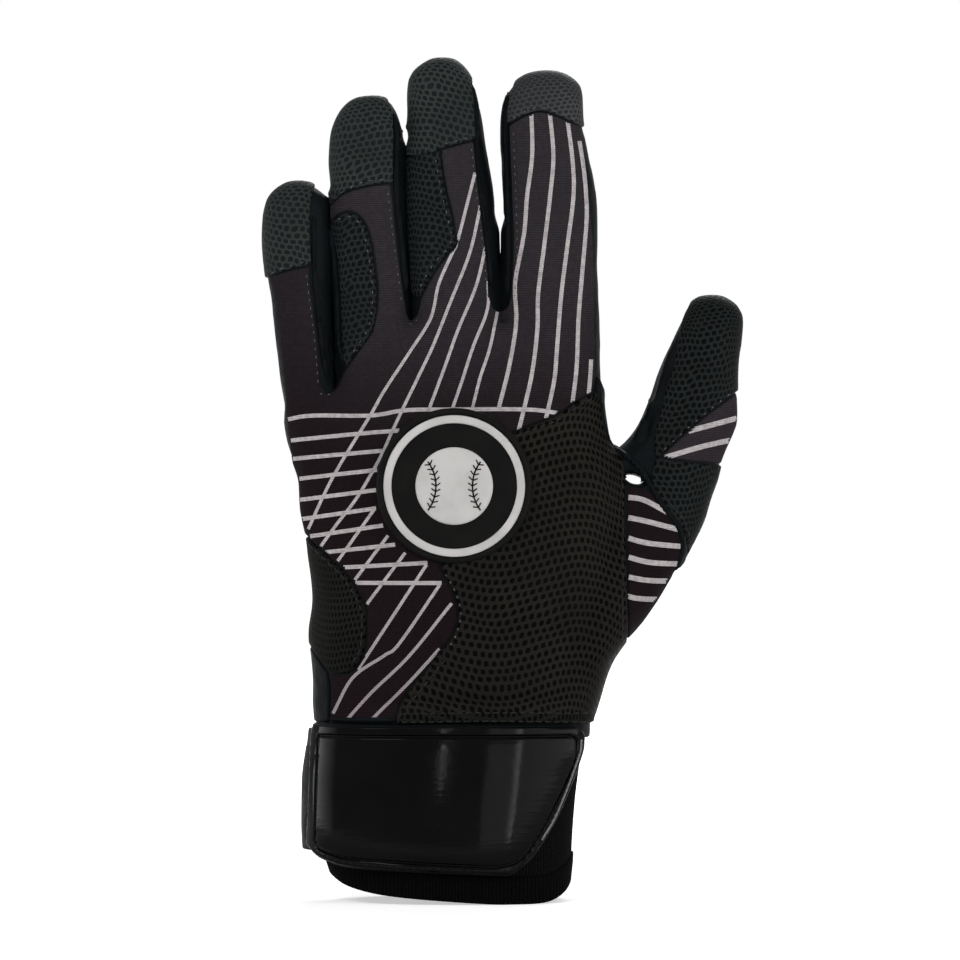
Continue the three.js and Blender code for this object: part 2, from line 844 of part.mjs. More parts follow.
function buildClosure() {
  const group = new THREE.Group();
  const patchOutline = boxOutline(patch.left, patch.right, patch.bottom, patch.top);
  const loopTop = seamGap + patch.thickness;
  const loop = wristLayer(seamGap, loopTop).intersect(prism(patchOutline, -far, 0));
  group.add(toMesh('loop_patch', loop, velcro));
  const anchorTop = cuff.height - anchor.belowSeam;
  const anchorOutline = boxOutline(-far, anchor.inner, anchorTop - anchor.height, anchorTop);
  const anchorRange = prism(anchorOutline, strap.hingeY + seamGap, anchor.palmReach);
  const tab = wristLayer(seamGap, seamGap + anchor.thickness).intersect(anchorRange);
  group.add(toMesh('strap_anchor', tab, smoothLeather));
  return group;
}

function buildStrap() {
  const group = new THREE.Group();
  const loopTop = seamGap + patch.thickness;
  const hookBottom = loopTop + seamGap;
  const hookTop = hookBottom + patch.thickness;
  const panelBottom = strap.backing + seamGap;
  const panelTop = panelBottom + strap.panel;
  const outline = scaledOutline(strapOutlineShares, strap.halfLength, strap.height, 0, strap.bottom);
  const innerOutline = inset(outline, strap.rimWidth);
  const limit = strap.hingeY - seamGap;
  const patchOutline = boxOutline(patch.left, patch.right, patch.bottom, patch.top);
  const hook = wristLayer(hookBottom, hookTop).intersect(prism(patchOutline, -far, 0));
  group.add(toMesh('hook_patch', hook, velcro));
  const backing = strapLayer(0, strap.backing).intersect(prism(outline, -far, limit));
  group.add(toMesh('strap_backing', backing, smoothLeather));
  const layer = strapLayer(panelBottom, panelTop).intersect(prism(outline, -far, limit));
  const panel = layer.intersect(prism(inset(innerOutline, seamGap / 2), -far, limit));
  group.add(toMesh('strap_panel', panel, gloss));
  const rim = layer.subtract(prism(inset(innerOutline, -seamGap / 2), -far, limit + overrun));
  group.add(toMesh('strap_rim', rim, gloss));
  return group;
}

const glove = new THREE.Group();
glove.name = 'batting_glove';
glove.add(buildHand());
glove.add(buildBadge());
glove.add(buildCuff());
glove.add(buildClosure());
glove.add(buildStrap());
for (const finger of fingers) {
  const frame = fingerFrame(finger);
  frame.add(buildFirstStretch(finger));
  frame.add(buildLastStretch(finger));
  glove.add(frame);
}
glove.add(buildThumb());

export default glove;
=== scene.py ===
"""Batting glove for the left hand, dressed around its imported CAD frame.

The glove stands on its cuff rim with the fingers up. The back of the hand faces -Y, the
thumb lies at +X, and everything is in metres. A soft skin is lofted from outlines measured
in the photograph, and each sewn panel is cut from that skin and raised by its own thickness.
"""
import json
import math

import bpy
import numpy as np
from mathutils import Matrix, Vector, noise
from mathutils.bvhtree import BVHTree


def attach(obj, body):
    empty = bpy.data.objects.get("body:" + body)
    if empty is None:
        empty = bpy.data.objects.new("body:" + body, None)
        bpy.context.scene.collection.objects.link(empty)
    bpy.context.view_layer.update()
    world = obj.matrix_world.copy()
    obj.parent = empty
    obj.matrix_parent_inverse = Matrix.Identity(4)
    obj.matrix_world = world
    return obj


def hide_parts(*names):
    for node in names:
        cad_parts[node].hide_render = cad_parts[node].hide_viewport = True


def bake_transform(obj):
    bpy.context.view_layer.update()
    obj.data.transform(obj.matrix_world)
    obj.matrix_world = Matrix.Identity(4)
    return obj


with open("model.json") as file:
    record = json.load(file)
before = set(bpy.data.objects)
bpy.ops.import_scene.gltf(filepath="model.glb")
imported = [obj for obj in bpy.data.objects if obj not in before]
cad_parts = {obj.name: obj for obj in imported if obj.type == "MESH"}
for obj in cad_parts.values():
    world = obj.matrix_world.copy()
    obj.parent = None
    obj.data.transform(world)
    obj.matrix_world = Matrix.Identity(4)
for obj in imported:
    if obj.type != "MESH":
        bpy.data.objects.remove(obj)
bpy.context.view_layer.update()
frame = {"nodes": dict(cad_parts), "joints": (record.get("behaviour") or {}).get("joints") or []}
MM = 0.001
TURN = 2 * math.pi

# The photograph: one pixel is 0.26 mm of the glove, column 450 is its axis, row 900 its rim.
PIXEL = 0.26 * MM
AXIS_COLUMN = 450
RIM_ROW = 900
FRAME_PIXELS = 960

# The skin
SECTION_POWER = 2.3
SECTION_SIDES = 48
VOXEL = 1.0 * MM
SKIN_BOTTOM = 42.5 * MM
CURVE_STEP = 1.0 * MM

# Panels
SEAM_GROOVE = 0.22 * MM
PRINT_THICKNESS = 0.45 * MM
GRIP_THICKNESS = 0.75 * MM
TIP_THICKNESS = 0.7 * MM
INSERT_THICKNESS = 0.6 * MM
LEATHER_THICKNESS = 0.5 * MM
EDGE_RADIUS = 0.55 * MM
EDGE_SINK = 0.25 * MM
EDGE_SHARES = (1.0, 0.45, 0.12)
FAR = 4 * MM
OFF = 2 * MM
SNAP = 0.04 * MM
LEAST_SLOPE = 0.12
MOST_TURNED = -0.35
STRIPE_WIDTH = 1.05 * MM
FAN_STRIPE = 0.82 * MM
WIDE_STRIPE = 1.35 * MM
STRIPE_LIFT = 0.06 * MM
SMALLEST_AREA = 1e-13


def x_of(column):
    return (column - AXIS_COLUMN) * PIXEL


def z_of(row):
    return (RIM_ROW - row) * PIXEL


def row_of(points):
    return RIM_ROW - points[:, 2] / PIXEL


def flat(points):
    """Pixels of the photograph as x and z of the glove."""
    pixels = np.array(points, float)
    return np.stack([x_of(pixels[:, 0]), z_of(pixels[:, 1])], 1)


def smoothstep(t):
    t = np.clip(t, 0, 1)
    return t * t * (3 - 2 * t)


def spline(points, step=CURVE_STEP):
    """Points about one step apart on a smooth open line through the given ones."""
    p = np.asarray(points, float)
    ends = np.vstack([2 * p[0] - p[1], p, 2 * p[-1] - p[-2]])
    out = []
    for k in range(len(p) - 1):
        a, b, c, d = ends[k:k + 4]
        count = max(int(np.ceil(np.linalg.norm(c - b) / step)), 1)
        t = np.arange(count)[:, None] / count
        bend = (2 * a - 5 * b + 4 * c - d) * t ** 2 + (3 * b - a - 3 * c + d) * t ** 3
        out.append(b + ((c - a) * t + bend) / 2)
    out.append(p[-1:])
    return np.vstack(out)


def outline(*runs):
    """A closed outline of smooth runs, with a corner wherever two of them meet."""
    return np.vstack([spline(flat(run)) for run in runs])


# Outlines of the digits in the photograph: row, left column and right column.
DIGIT_ROWS = {
    "little": ((297, 181), [
        (185, 284, 313), (190, 276, 320), (200, 268, 326), (215, 265, 327), (240, 264, 328),
        (270, 266, 329), (300, 271, 330), (340, 276, 332), (385, 282, 335), (430, 290, 338), (470, 300, 342),
    ]),
    "ring": ((372, 96), [
        (100, 354, 389), (108, 345, 395), (120, 337, 400), (140, 332, 402), (160, 331, 403),
        (190, 333, 403), (230, 335, 404), (270, 337, 405), (310, 338, 406), (350, 339, 407), (385, 341, 409),
        (400, 345, 410), (440, 350, 412),
    ]),
    "middle": ((443, 59), [
        (65, 425, 460), (80, 411, 472), (100, 409, 479), (120, 410, 483), (140, 411, 486),
        (160, 411, 489), (200, 412, 494), (240, 413, 496), (290, 415, 498), (340, 418, 499), (400, 424, 500),
    ]),
    "index": ((545, 72), [
        (80, 519, 571), (90, 508, 579), (100, 503, 580), (120, 502, 581), (140, 502, 586),
        (160, 505, 590), (180, 505, 595), (200, 505, 597), (240, 505, 598), (290, 506, 598),
        (340, 506, 600), (400, 506, 602),
    ]),
    "thumb": ((712, 297), [
        (300, 698, 724), (308, 689, 735), (320, 683, 740), (340, 673, 740), (360, 664, 737),
        (380, 656, 737), (400, 649, 736), (420, 641, 737), (440, 629, 729), (452, 615, 724), (465, 596, 720),
        (480, 588, 716), (500, 582, 709), (520, 576, 703), (540, 570, 693), (560, 562, 682),
        (580, 553, 666), (600, 545, 655), (620, 537, 641), (640, 530, 626), (660, 524, 610),
    ]),
}
# Half depths in millimetres along each digit: row, depth, and how far it lies to the palm side.
DIGIT_DEPTHS = {
    "little": [(181, 6.9, 0), (270, 7.2, 0), (385, 7.9, 0), (430, 9, 0), (470, 9, 0)],
    "ring": [(96, 7.2, 0), (200, 7.5, 0), (320, 8.2, 0), (380, 10, 0), (440, 11, 0)],
    "middle": [(59, 7.3, 0), (180, 7.7, 0), (310, 8.4, 0), (380, 11, 0), (400, 11, 0)],
    "index": [(72, 7.4, 0), (200, 7.9, 0), (310, 8.6, 0), (380, 11, 0), (400, 11, 0)],
    "thumb": [(297, 7.6, 3), (380, 8.4, 3), (455, 8.8, 3), (500, 10, 2.4), (560, 12.5, 1.4),
              (620, 14, 0.6), (660, 13, 0)],
}
DOME_ROWS = 38
BLOCK_STEP_ROWS = 6
PALM_ROWS = [
    (800, 318, 588, 18.6), (722, 317, 590, 18.6), (700, 315, 596, 18.6), (680, 314, 603, 18.5),
    (660, 312, 611, 18.4), (640, 310, 622, 18.2), (600, 315, 626, 17.9), (560, 311, 626, 17.5),
    (540, 309, 626, 17.3), (520, 302, 625, 17), (500, 301, 624, 16.6), (480, 300, 622, 16.1),
    (460, 294, 615, 15.5), (440, 287, 606, 14.6), (420, 284, 603, 13.4), (400, 286, 601, 11.2),
    (390, 292, 598, 9),
]
KNUCKLE_ROWS = [
    (460, 352, 604, 13.6), (420, 348, 601, 13), (390, 346, 601, 12.1), (360, 347, 600, 10.7),
    (338, 350, 598, 9.3), (328, 356, 594, 7.9),
]
# Lines along the gaps between neighbouring fingers
GAP_LINES = [
    [(333, 400), (330.5, 230), (329.5, 200), (326, 190), (318, 182), (314, 60)],
    [(413, 330), (408, 140), (404.5, 120), (399, 100), (394, 50)],
    [(501, 315), (498, 218), (494, 100), (490, 50)],
]
THUMB_COLUMN = 617
GRIP_COLUMN = 632
# Once the skin is closed, neighbouring flanks move out by these columns between two rows:
# where the white gap ends and where the fingers part.
FLANK_COLUMNS = 4.6
GAP_BLEND = 24
CROTCH_MARGIN = 8
CROTCH_BLEND = 10
FLANK_ROWS = {
    "little": (None, (197, 390)), "ring": ((197, 390), (146, 324)), "middle": ((146, 324), (222, 320)),
    "index": ((222, 320), None),
}
WEB_HOLE = {"centre": (634.7, 479.6), "half_length": 13.6, "half_height": 6.1, "tilt": 0.3}
WEB_SIDES = 24
WEB_REACH = 40 * MM
DIGITS = tuple(DIGIT_ROWS)
FINGERS = DIGITS[:4]
ZONE_NAMES = ["hand"] + [f"{name}_{part}" for name in FINGERS for part in ("first", "last")] + ["thumb"]


def row_table(rows, tip):
    """A digit's rows, as the root of their way from the tip, and its columns at each of them."""
    table = np.array([(tip[1], tip[0], tip[0])] + rows, float)
    return np.sqrt(table[:, 0] - tip[1]), table[:, 1:]


def monotone(x, y, at):
    """Cubic interpolation that doesn't overshoot between the given points."""
    steps = np.diff(x)
    slopes = np.diff(y, axis=0) / steps[:, None]
    inner = np.where(slopes[:-1] * slopes[1:] > 0,
                     2 * slopes[:-1] * slopes[1:] / (slopes[:-1] + slopes[1:] + 1e-30), 0)
    tangents = np.vstack([slopes[:1], inner, slopes[-1:]])
    k = np.clip(np.searchsorted(x, at, side="right") - 1, 0, len(x) - 2)
    h = steps[k][:, None]
    t = ((at - x[k]) / steps[k])[:, None]
    low = y[k] * (1 + 2 * t) * (1 - t) ** 2 + tangents[k] * h * t * (1 - t) ** 2
    high = y[k + 1] * t ** 2 * (3 - 2 * t) + tangents[k + 1] * h * t ** 2 * (t - 1)
    return low + high


def superellipse(sides=SECTION_SIDES):
    """Unit points round a superellipse, as x and y."""
    angles = np.arange(sides) * TURN / sides
    return [np.sign(part) * np.abs(part) ** (2 / SECTION_POWER) for part in (np.cos(angles), np.sin(angles))]


def quads(rows, sides):
    """The four corners of each face between rings of points."""
    for k in range(rows - 1):
        for i in range(sides):
            j = (i + 1) % sides
            yield k * sides + i, k * sides + j, (k + 1) * sides + j, (k + 1) * sides + i


def loft(sections):
    """Closed mesh through sections (left, right, z, half depth, y), as points and faces."""
    across, along = superellipse()
    points = []
    for left, right, z, half_depth, y in sections:
        x = (left + right) / 2 + across * (right - left) / 2
        points.append(np.stack([x, y + along * half_depth, np.full(len(x), z)], 1))
    last = (len(sections) - 1) * SECTION_SIDES
    faces = list(quads(len(sections), SECTION_SIDES))
    faces.append(tuple(range(SECTION_SIDES))[::-1])
    faces.append(tuple(range(last, last + SECTION_SIDES)))
    return np.vstack(points), faces


def digit_sections(name):
    """Sections of a digit from its root up to a small cap, close together near its tip."""
    tip, rows = DIGIT_ROWS[name]
    roots, columns = row_table(rows, tip)
    far = np.sqrt(np.arange(66, rows[-1][0] - tip[1], 10))
    at = np.concatenate([np.arange(1.2, 8, 0.5), far, roots[-1:]])
    left, right = monotone(roots, columns, at).T
    picked = tip[1] + at ** 2
    depths = np.array(DIGIT_DEPTHS[name], float)
    half, y = (np.interp(picked, depths[:, 0], depths[:, k]) * MM for k in (1, 2))
    rise = np.clip((picked - tip[1]) / DOME_ROWS, 0, 1)
    half = half * np.sqrt(1 - (1 - rise) ** 2)
    return list(zip(x_of(left), x_of(right), z_of(picked), half, y))[::-1]


def block_sections(rows):
    """Sections of the palm or the knuckle block from its table."""
    table = np.array(rows, float)[::-1]
    at = np.arange(table[0, 0], table[-1, 0] + 1, BLOCK_STEP_ROWS)
    left, right, depth = monotone(table[:, 0], table[:, 1:], at).T
    return list(zip(x_of(left), x_of(right), z_of(at), depth * MM, 0 * at))[::-1]


def new_mesh_object(name, points, faces):
    mesh = bpy.data.meshes.new(name)
    mesh.from_pydata([tuple(p) for p in points], [], [tuple(f) for f in faces])
    obj = bpy.data.objects.new(name, mesh)
    bpy.context.scene.collection.objects.link(obj)
    return obj


def evaluated_mesh(obj):
    """The object's mesh with its modifiers applied."""
    graph = bpy.context.evaluated_depsgraph_get()
    return bpy.data.meshes.new_from_object(obj.evaluated_get(graph))


def web_hole_object():
    """An elliptic rod through the small gap between the thumb and the hand."""
    column, row = WEB_HOLE["centre"]
    cos = math.cos(WEB_HOLE["tilt"])
    sin = math.sin(WEB_HOLE["tilt"])
    ring = []
    for k in range(WEB_SIDES):
        angle = TURN * k / WEB_SIDES
        along = WEB_HOLE["half_length"] * math.cos(angle)
        up = WEB_HOLE["half_height"] * math.sin(angle)
        ring.append((column + along * cos - up * sin, row + along * sin + up * cos))
    points = [(x, y, z) for y in (-WEB_REACH, WEB_REACH) for x, z in flat(ring)]
    faces = [tuple(range(WEB_SIDES))[::-1], tuple(range(WEB_SIDES, 2 * WEB_SIDES))]
    return new_mesh_object("web_hole", points, faces + list(quads(2, WEB_SIDES)))


def add_remesh(obj, name):
    made = obj.modifiers.new(name, "REMESH")
    made.mode = "VOXEL"
    made.voxel_size = VOXEL


def closed_skin():
    """One soft closed surface of the palm, the thumb root and the five digits."""
    points = []
    faces = []
    total = 0
    lofts = [block_sections(PALM_ROWS), block_sections(KNUCKLE_ROWS)]
    lofts += [digit_sections(name) for name in DIGITS]
    for sections in lofts:
        p, f = loft(sections)
        points.append(p)
        faces += [tuple(i + total for i in face) for face in f]
        total += len(p)
    obj = new_mesh_object("skin", np.vstack(points), faces)
    hole = web_hole_object()
    add_remesh(obj, "merge")
    pierce = obj.modifiers.new("pierce", "BOOLEAN")
    pierce.operation = "DIFFERENCE"
    pierce.object = hole
    add_remesh(obj, "even")
    soften = obj.modifiers.new("soften", "SMOOTH")
    soften.factor = 0.5
    soften.iterations = 8
    mesh = evaluated_mesh(obj)
    bpy.data.objects.remove(obj)
    bpy.data.objects.remove(hole)
    return mesh


def triangles_of(mesh):
    """Points and triangles of a mesh as arrays."""
    mesh.calc_loop_triangles()
    points = np.zeros(len(mesh.vertices) * 3)
    mesh.vertices.foreach_get("co", points)
    triangles = np.zeros(len(mesh.loop_triangles) * 3, int)
    mesh.loop_triangles.foreach_get("vertices", triangles)
    return points.reshape(-1, 3), triangles.reshape(-1, 3)


def vertex_normals(points, triangles):
    """Smooth normals, weighted by the area of the triangles."""
    a, b, c = (points[triangles[:, k]] for k in range(3))
    face = np.cross(b - a, c - a)
    normals = np.zeros_like(points)
    for k in range(3):
        for axis in range(3):
            normals[:, axis] += np.bincount(triangles[:, k], face[:, axis], len(points))
    return normals / np.maximum(np.linalg.norm(normals, axis=1, keepdims=True), 1e-12)


BASE_START = -0.5 * MM
BASE_BEND = 9 * MM
MIDDLE_BEND = 5 * MM
THUMB_BEND = 16 * MM


def joint_of(body):
    """The record's joint that moves a body, and where it is."""
    joint = next(j for j in frame["joints"] if j["child"] == body)
    return joint, np.array(joint["pos_m"])


# Digits move on the record's hinges, so each has a frame at its knuckle.
class Digit:
    """Where a digit's hinges are, and the direction that it points in."""

    def __init__(self, name):
        self.first = "thumb" if name == "thumb" else name + "_first"
        knuckle, self.origin = joint_of(self.first)
        self.up = np.cross(-np.array(knuckle["axis"]), (0, 1, 0))
        self.last = None
        if name != "thumb":
            self.last = name + "_last"
            self.reach = float((joint_of(self.last)[1] - self.origin) @ self.up)
            self.cut = (BASE_BEND + self.reach - MIDDLE_BEND) / 2

    def height(self, points):
        return (points - self.origin) @ self.up

    def at(self, height):
        return self.origin + self.up * height


digits = {name: Digit(name) for name in DIGITS}


def owner_of(points):
    """The digit whose part of the front view each point lies in, as an index into DIGITS."""
    owner = np.zeros(len(points), int)
    for step, gap in enumerate(GAP_LINES):
        line = flat(gap)
        owner[points[:, 0] > np.interp(points[:, 2], line[:, 1], line[:, 0])] = step + 1
    owner[points[:, 0] > x_of(THUMB_COLUMN)] = 4
    return owner


def zones_of(points):
    """A zone for each point: 0 is the hand, then two stretches for each finger, then the thumb."""
    owner = owner_of(points)
    zone = np.zeros(len(points), int)
    for k, name in enumerate(DIGITS):
        digit = digits[name]
        height = digit.height(points)
        mine = (owner == k) & (height > BASE_START)
        zone[mine] = 1 + 2 * k
        if digit.last:
            zone[mine & (height > digit.cut)] = 2 + 2 * k
    return zone


def unrolled(points):
    """Rest places whose x and z run on round sides and tips, so that patterns don't stretch there."""
    row = row_of(points)
    column = points[:, 0] / PIXEL + AXIS_COLUMN
    section = (zones_of(points) + 1) // 2
    section[(section == 0) & (column > GRIP_COLUMN)] = len(DIGITS)
    out = points.copy()
    for k, name in enumerate(("palm",) + DIGITS):
        if name == "palm":
            sides = np.array(PALM_ROWS[::-1], float)
            depths = sides[:, [0, 3]]
            rise = 0
        else:
            tip, rows = DIGIT_ROWS[name]
            sides = np.array(rows, float)
            depths = np.array(DIGIT_DEPTHS[name], float)
            rise = smoothstep(1 - (row - tip[1]) / DOME_ROWS)
        half = np.interp(row, depths[:, 0], depths[:, 1]) * MM
        left, right = (np.interp(row, sides[:, 0], sides[:, i]) for i in (1, 2))
        share = np.clip((2 * column - left - right) / (right - left), -1, 1)
        behind = np.where(section == k, points[:, 1] + half, 0)
        out[:, 0] += share ** 3 * behind * (1 - rise)
        out[:, 2] += rise * behind
    return out


def widen_flanks(points):
    """Moves the flanks of the fingers out until neighbours touch below the white gaps."""
    owner = owner_of(points)
    out = points.copy()
    row = row_of(points)
    for k, name in enumerate(FINGERS):
        table = np.array(DIGIT_ROWS[name][1], float)
        left, right = (x_of(np.interp(row, table[:, 0], table[:, i])) for i in (1, 2))
        share = np.clip((points[:, 0] - left) / (right - left) * 2 - 1, -1, 1)
        for side, rows in zip((-1, 1), FLANK_ROWS[name]):
            if rows is None:
                continue
            meeting, crotch = rows
            closing = smoothstep((row - meeting + GAP_BLEND / 2) / GAP_BLEND)
            closing = closing * smoothstep((crotch + CROTCH_MARGIN - row) / CROTCH_BLEND)
            reach = np.where(share * side > 0, share * np.abs(share), 0)
            out[:, 0] += np.where(owner == k, reach * closing * FLANK_COLUMNS * PIXEL, 0)
    return out


def ridge(points, a, b, width, height):
    """Height of a soft fold along the line from a to b in the front view."""
    (x0, z0), (x1, z1) = flat([a, b])
    along = np.array([x1 - x0, z1 - z0])
    length = np.linalg.norm(along)
    along = along / length
    rel = points[:, [0, 2]] - (x0, z0)
    run = rel @ along
    off = rel @ np.array([-along[1], along[0]])
    ends = smoothstep(run / length * 4) * smoothstep((1 - run / length) * 4)
    return height * np.exp(-(off / width) ** 2) * ends


# Soft folds of the back and the palm: two pixels, half width and height in millimetres.
BACK_FOLDS = [
    ((330, 716), (600, 712), 1.6, 0.7), ((330, 703), (596, 699), 2.0, -0.6),
    ((345, 690), (590, 684), 2.4, 0.35),
    ((600, 640), (520, 600), 4.0, 0.6), ((612, 600), (540, 640), 3.5, -0.5),
    ((620, 470), (560, 470), 4.0, 0.5),
    ((610, 420), (560, 450), 3.0, 0.5), ((300, 520), (350, 545), 3.0, 0.4),
    ((640, 520), (690, 560), 3.0, -0.5),
    ((680, 312), (645, 452), 1.3, 1.1), ((671, 322), (640, 440), 1.2, -0.9),
    ((700, 350), (672, 440), 2.2, -0.5),
    ((628, 442), (656, 436), 1.2, -0.7), ((632, 452), (664, 458), 1.2, 0.6),
    ((630, 448), (664, 392), 1.0, 1.1), ((644, 440), (672, 368), 0.9, -1.0),
    ((638, 428), (656, 400), 0.9, 0.9),
]
PALM_FOLDS = [
    ((330, 500), (560, 440), 2.0, -1.4), ((350, 450), (600, 430), 1.8, -1.2),
    ((560, 440), (540, 690), 2.2, -1.5),
    ((470, 560), (440, 700), 4.0, 0.9), ((360, 640), (420, 560), 4.0, 0.8),
    ((500, 470), (440, 560), 2.0, -0.8),
    ((620, 560), (570, 640), 2.4, 0.9), ((650, 500), (600, 600), 1.8, -0.9),
    ((400, 420), (420, 500), 2.0, -0.7),
]
# Folds inside the fingers: share of the way between the knuckles, and height in millimetres.
FINGER_FOLDS = ((0.0, -0.55), (0.5, 0.15), (1.0, -0.5), (1.9, -0.35))
FINGER_FOLD_WIDTH = 1.3 * MM
# Unevenness: waves in a metre, and their heights in millimetres.
UNEVEN_SCALES = (55, 160)
UNEVEN_HEIGHTS = (0.55, 0.16)


def wrinkle(points, normals):
    """Pushes soft folds and unevenness into the skin."""
    amount = np.zeros(len(points))
    inside = smoothstep(normals[:, 1] * 1.5)
    for facing, folds in ((smoothstep(-normals[:, 1] * 1.5), BACK_FOLDS), (inside, PALM_FOLDS)):
        for a, b, width, height in folds:
            amount += facing * ridge(points, a, b, width * MM, height * MM)
    owner = owner_of(points)
    for k, name in enumerate(FINGERS):
        height = digits[name].height(points)
        mine = (owner == k) * inside
        for share, depth in FINGER_FOLDS:
            off = (height - share * digits[name].reach) / FINGER_FOLD_WIDTH
            amount += mine * depth * MM * np.exp(-off ** 2)
    for k, point in enumerate(points):
        slow, quick = (noise.noise(Vector(point) * scale) for scale in UNEVEN_SCALES)
        amount[k] += (slow * UNEVEN_HEIGHTS[0] + quick * UNEVEN_HEIGHTS[1]) * MM
    return points + normals * amount[:, None]


class Surface:
    """A triangle surface held as arrays, with its smooth normals."""

    def __init__(self, points, triangles):
        self.points = points
        self.triangles = triangles
        self.normals = vertex_normals(points, triangles)

    def tree(self):
        return BVHTree.FromPolygons(self.points.tolist(), self.triangles.tolist())


def build_skin():
    points, triangles = triangles_of(closed_skin())
    points = widen_flanks(points)
    points = wrinkle(points, vertex_normals(points, triangles))
    keep = (points[triangles][:, :, 2] > SKIN_BOTTOM).all(1)
    return Surface(points, triangles[keep])


def distance_to(points, border):
    """Signed distance of x, z points to a closed outline, negative inside, and its direction."""
    low = border.min(0) - FAR
    high = border.max(0) + FAR
    near = np.nonzero(((points >= low) & (points <= high)).all(1))[0]
    p = points[near]
    best = np.full(len(p), np.inf)
    away = np.zeros((len(p), 2))
    crossings = np.zeros(len(p), bool)
    for a, b in zip(border, np.roll(border, -1, 0)):
        edge = b - a
        length = edge @ edge
        if length < 1e-14:
            continue
        share = np.clip((p - a) @ edge / length, 0, 1)
        offset = p - a - share[:, None] * edge
        distance = (offset ** 2).sum(1)
        closer = distance < best
        best[closer] = distance[closer]
        away[closer] = offset[closer]
        if a[1] != b[1]:
            spans = (a[1] > p[:, 1]) != (b[1] > p[:, 1])
            crossings ^= spans & (p[:, 0] < a[0] + (p[:, 1] - a[1]) * edge[0] / edge[1])
    sign = np.where(crossings, -1, 1)
    size = np.sqrt(best)
    value = np.full(len(points), FAR)
    direction = np.zeros((len(points), 2))
    value[near] = sign * size
    direction[near] = away * (sign / np.maximum(size, 1e-9))[:, None]
    return value, direction


def field(surface, borders, facing=-1, side_limit=None):
    """Distance along the surface to the nearest of several joined outlines, negative inside."""
    result = np.inf
    for border in borders:
        value, direction = distance_to(surface.points[:, [0, 2]], border)
        lean = (surface.normals[:, [0, 2]] * direction).sum(1)
        result = np.minimum(result, value / np.sqrt(np.maximum(1 - lean ** 2, LEAST_SLOPE)))
    if side_limit is not None:
        result = np.maximum(result, -facing * (surface.points[:, 1] - side_limit))
    wrong = surface.normals[:, 1] * facing < MOST_TURNED
    return np.where(wrong, np.maximum(result, OFF), result)


def cut(data, triangles, level):
    """Divides the triangles where the last column of the data crosses a level."""
    value = data[:, -1] - level
    value[np.abs(value) < SNAP] = 0
    above = value > 0
    count = above[triangles].sum(1)
    mixed = (count > 0) & (count < 3)
    t = triangles[mixed]
    lone_above = count[mixed] == 1
    first = (above[t] == lone_above[:, None]).argmax(1)
    rows = np.arange(len(t))
    a, b, c = (t[rows, (first + k) % 3] for k in range(3))
    edges = np.sort(np.stack([np.r_[a, a], np.r_[b, c]], 1), 1)
    keys, index = np.unique(edges, axis=0, return_inverse=True)
    index = index.reshape(-1)
    v0 = value[keys[:, 0]]
    v1 = value[keys[:, 1]]
    share = (v0 / (v0 - v1))[:, None]
    added = data[keys[:, 0]] * (1 - share) + data[keys[:, 1]] * share
    added[:, -1] = level
    p = len(data) + index[:len(a)]
    q = len(data) + index[len(a):]
    pieces = [triangles[~mixed], np.stack([a, p, q], 1), np.stack([p, b, c], 1), np.stack([p, c, q], 1)]
    return np.vstack([data, added]), np.vstack(pieces)


def compact(data, triangles):
    """Drops the rows of data that no triangle uses."""
    used, index = np.unique(triangles, return_inverse=True)
    return data[used], index.reshape(triangles.shape)


def panel(surface, values, thickness, puff=0.0, puff_reach=3 * MM, edge=EDGE_RADIUS, sink=EDGE_SINK):
    """The part of a surface where the values are negative, raised, with a rounded edge."""
    near = (values[surface.triangles] < 0).any(1)
    data = np.hstack([surface.points, surface.normals, values[:, None]])
    data, triangles = compact(data, surface.triangles[near])
    for share in EDGE_SHARES:
        data, triangles = cut(data, triangles, -share * edge)
    data, triangles = cut(data, triangles, 0)
    inside = (data[:, -1][triangles] <= 1e-7).all(1)
    data, triangles = compact(data, triangles[inside])
    depth = -data[:, -1]
    turn = np.clip(depth / edge, 0, 1)
    height = (thickness + sink) * np.sqrt(1 - (1 - turn) ** 2) - sink
    height = height + puff * (1 - np.exp(-np.maximum(depth, 0) / puff_reach))
    normals = data[:, 3:6] / np.linalg.norm(data[:, 3:6], axis=1, keepdims=True)
    raised = Surface(data[:, :3] + normals * height[:, None], triangles)
    raised.base = data[:, :3]
    return raised


def add_attributes(mesh, base):
    """Stores where each point lies at rest, in metres, for the patterns of its material."""
    rest = mesh.attributes.new("rest", "FLOAT_VECTOR", "POINT")
    rest.data.foreach_set("vector", np.asarray(base, np.float32).ravel())


def place(obj, zone):
    """Makes a piece ride on the hand or the strap when that is its zone; a digit's piece is only baked in
    place and bends across no hinge.
    """
    if zone is None:
        return
    if zone in ("hand", "strap"):
        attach(obj, zone)
        return
    digit = digits[zone.split("_")[0]]
    if zone == "thumb":
        digit.at(BASE_START)
        digit.at(THUMB_BEND)
        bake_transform(obj)
    elif zone.endswith("first"):
        digit.at(BASE_START)
        digit.at(BASE_BEND)
        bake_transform(obj)
    else:
        start = digit.at(digit.reach - MIDDLE_BEND)
        end = digit.at(digit.reach + MIDDLE_BEND)
        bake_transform(obj)


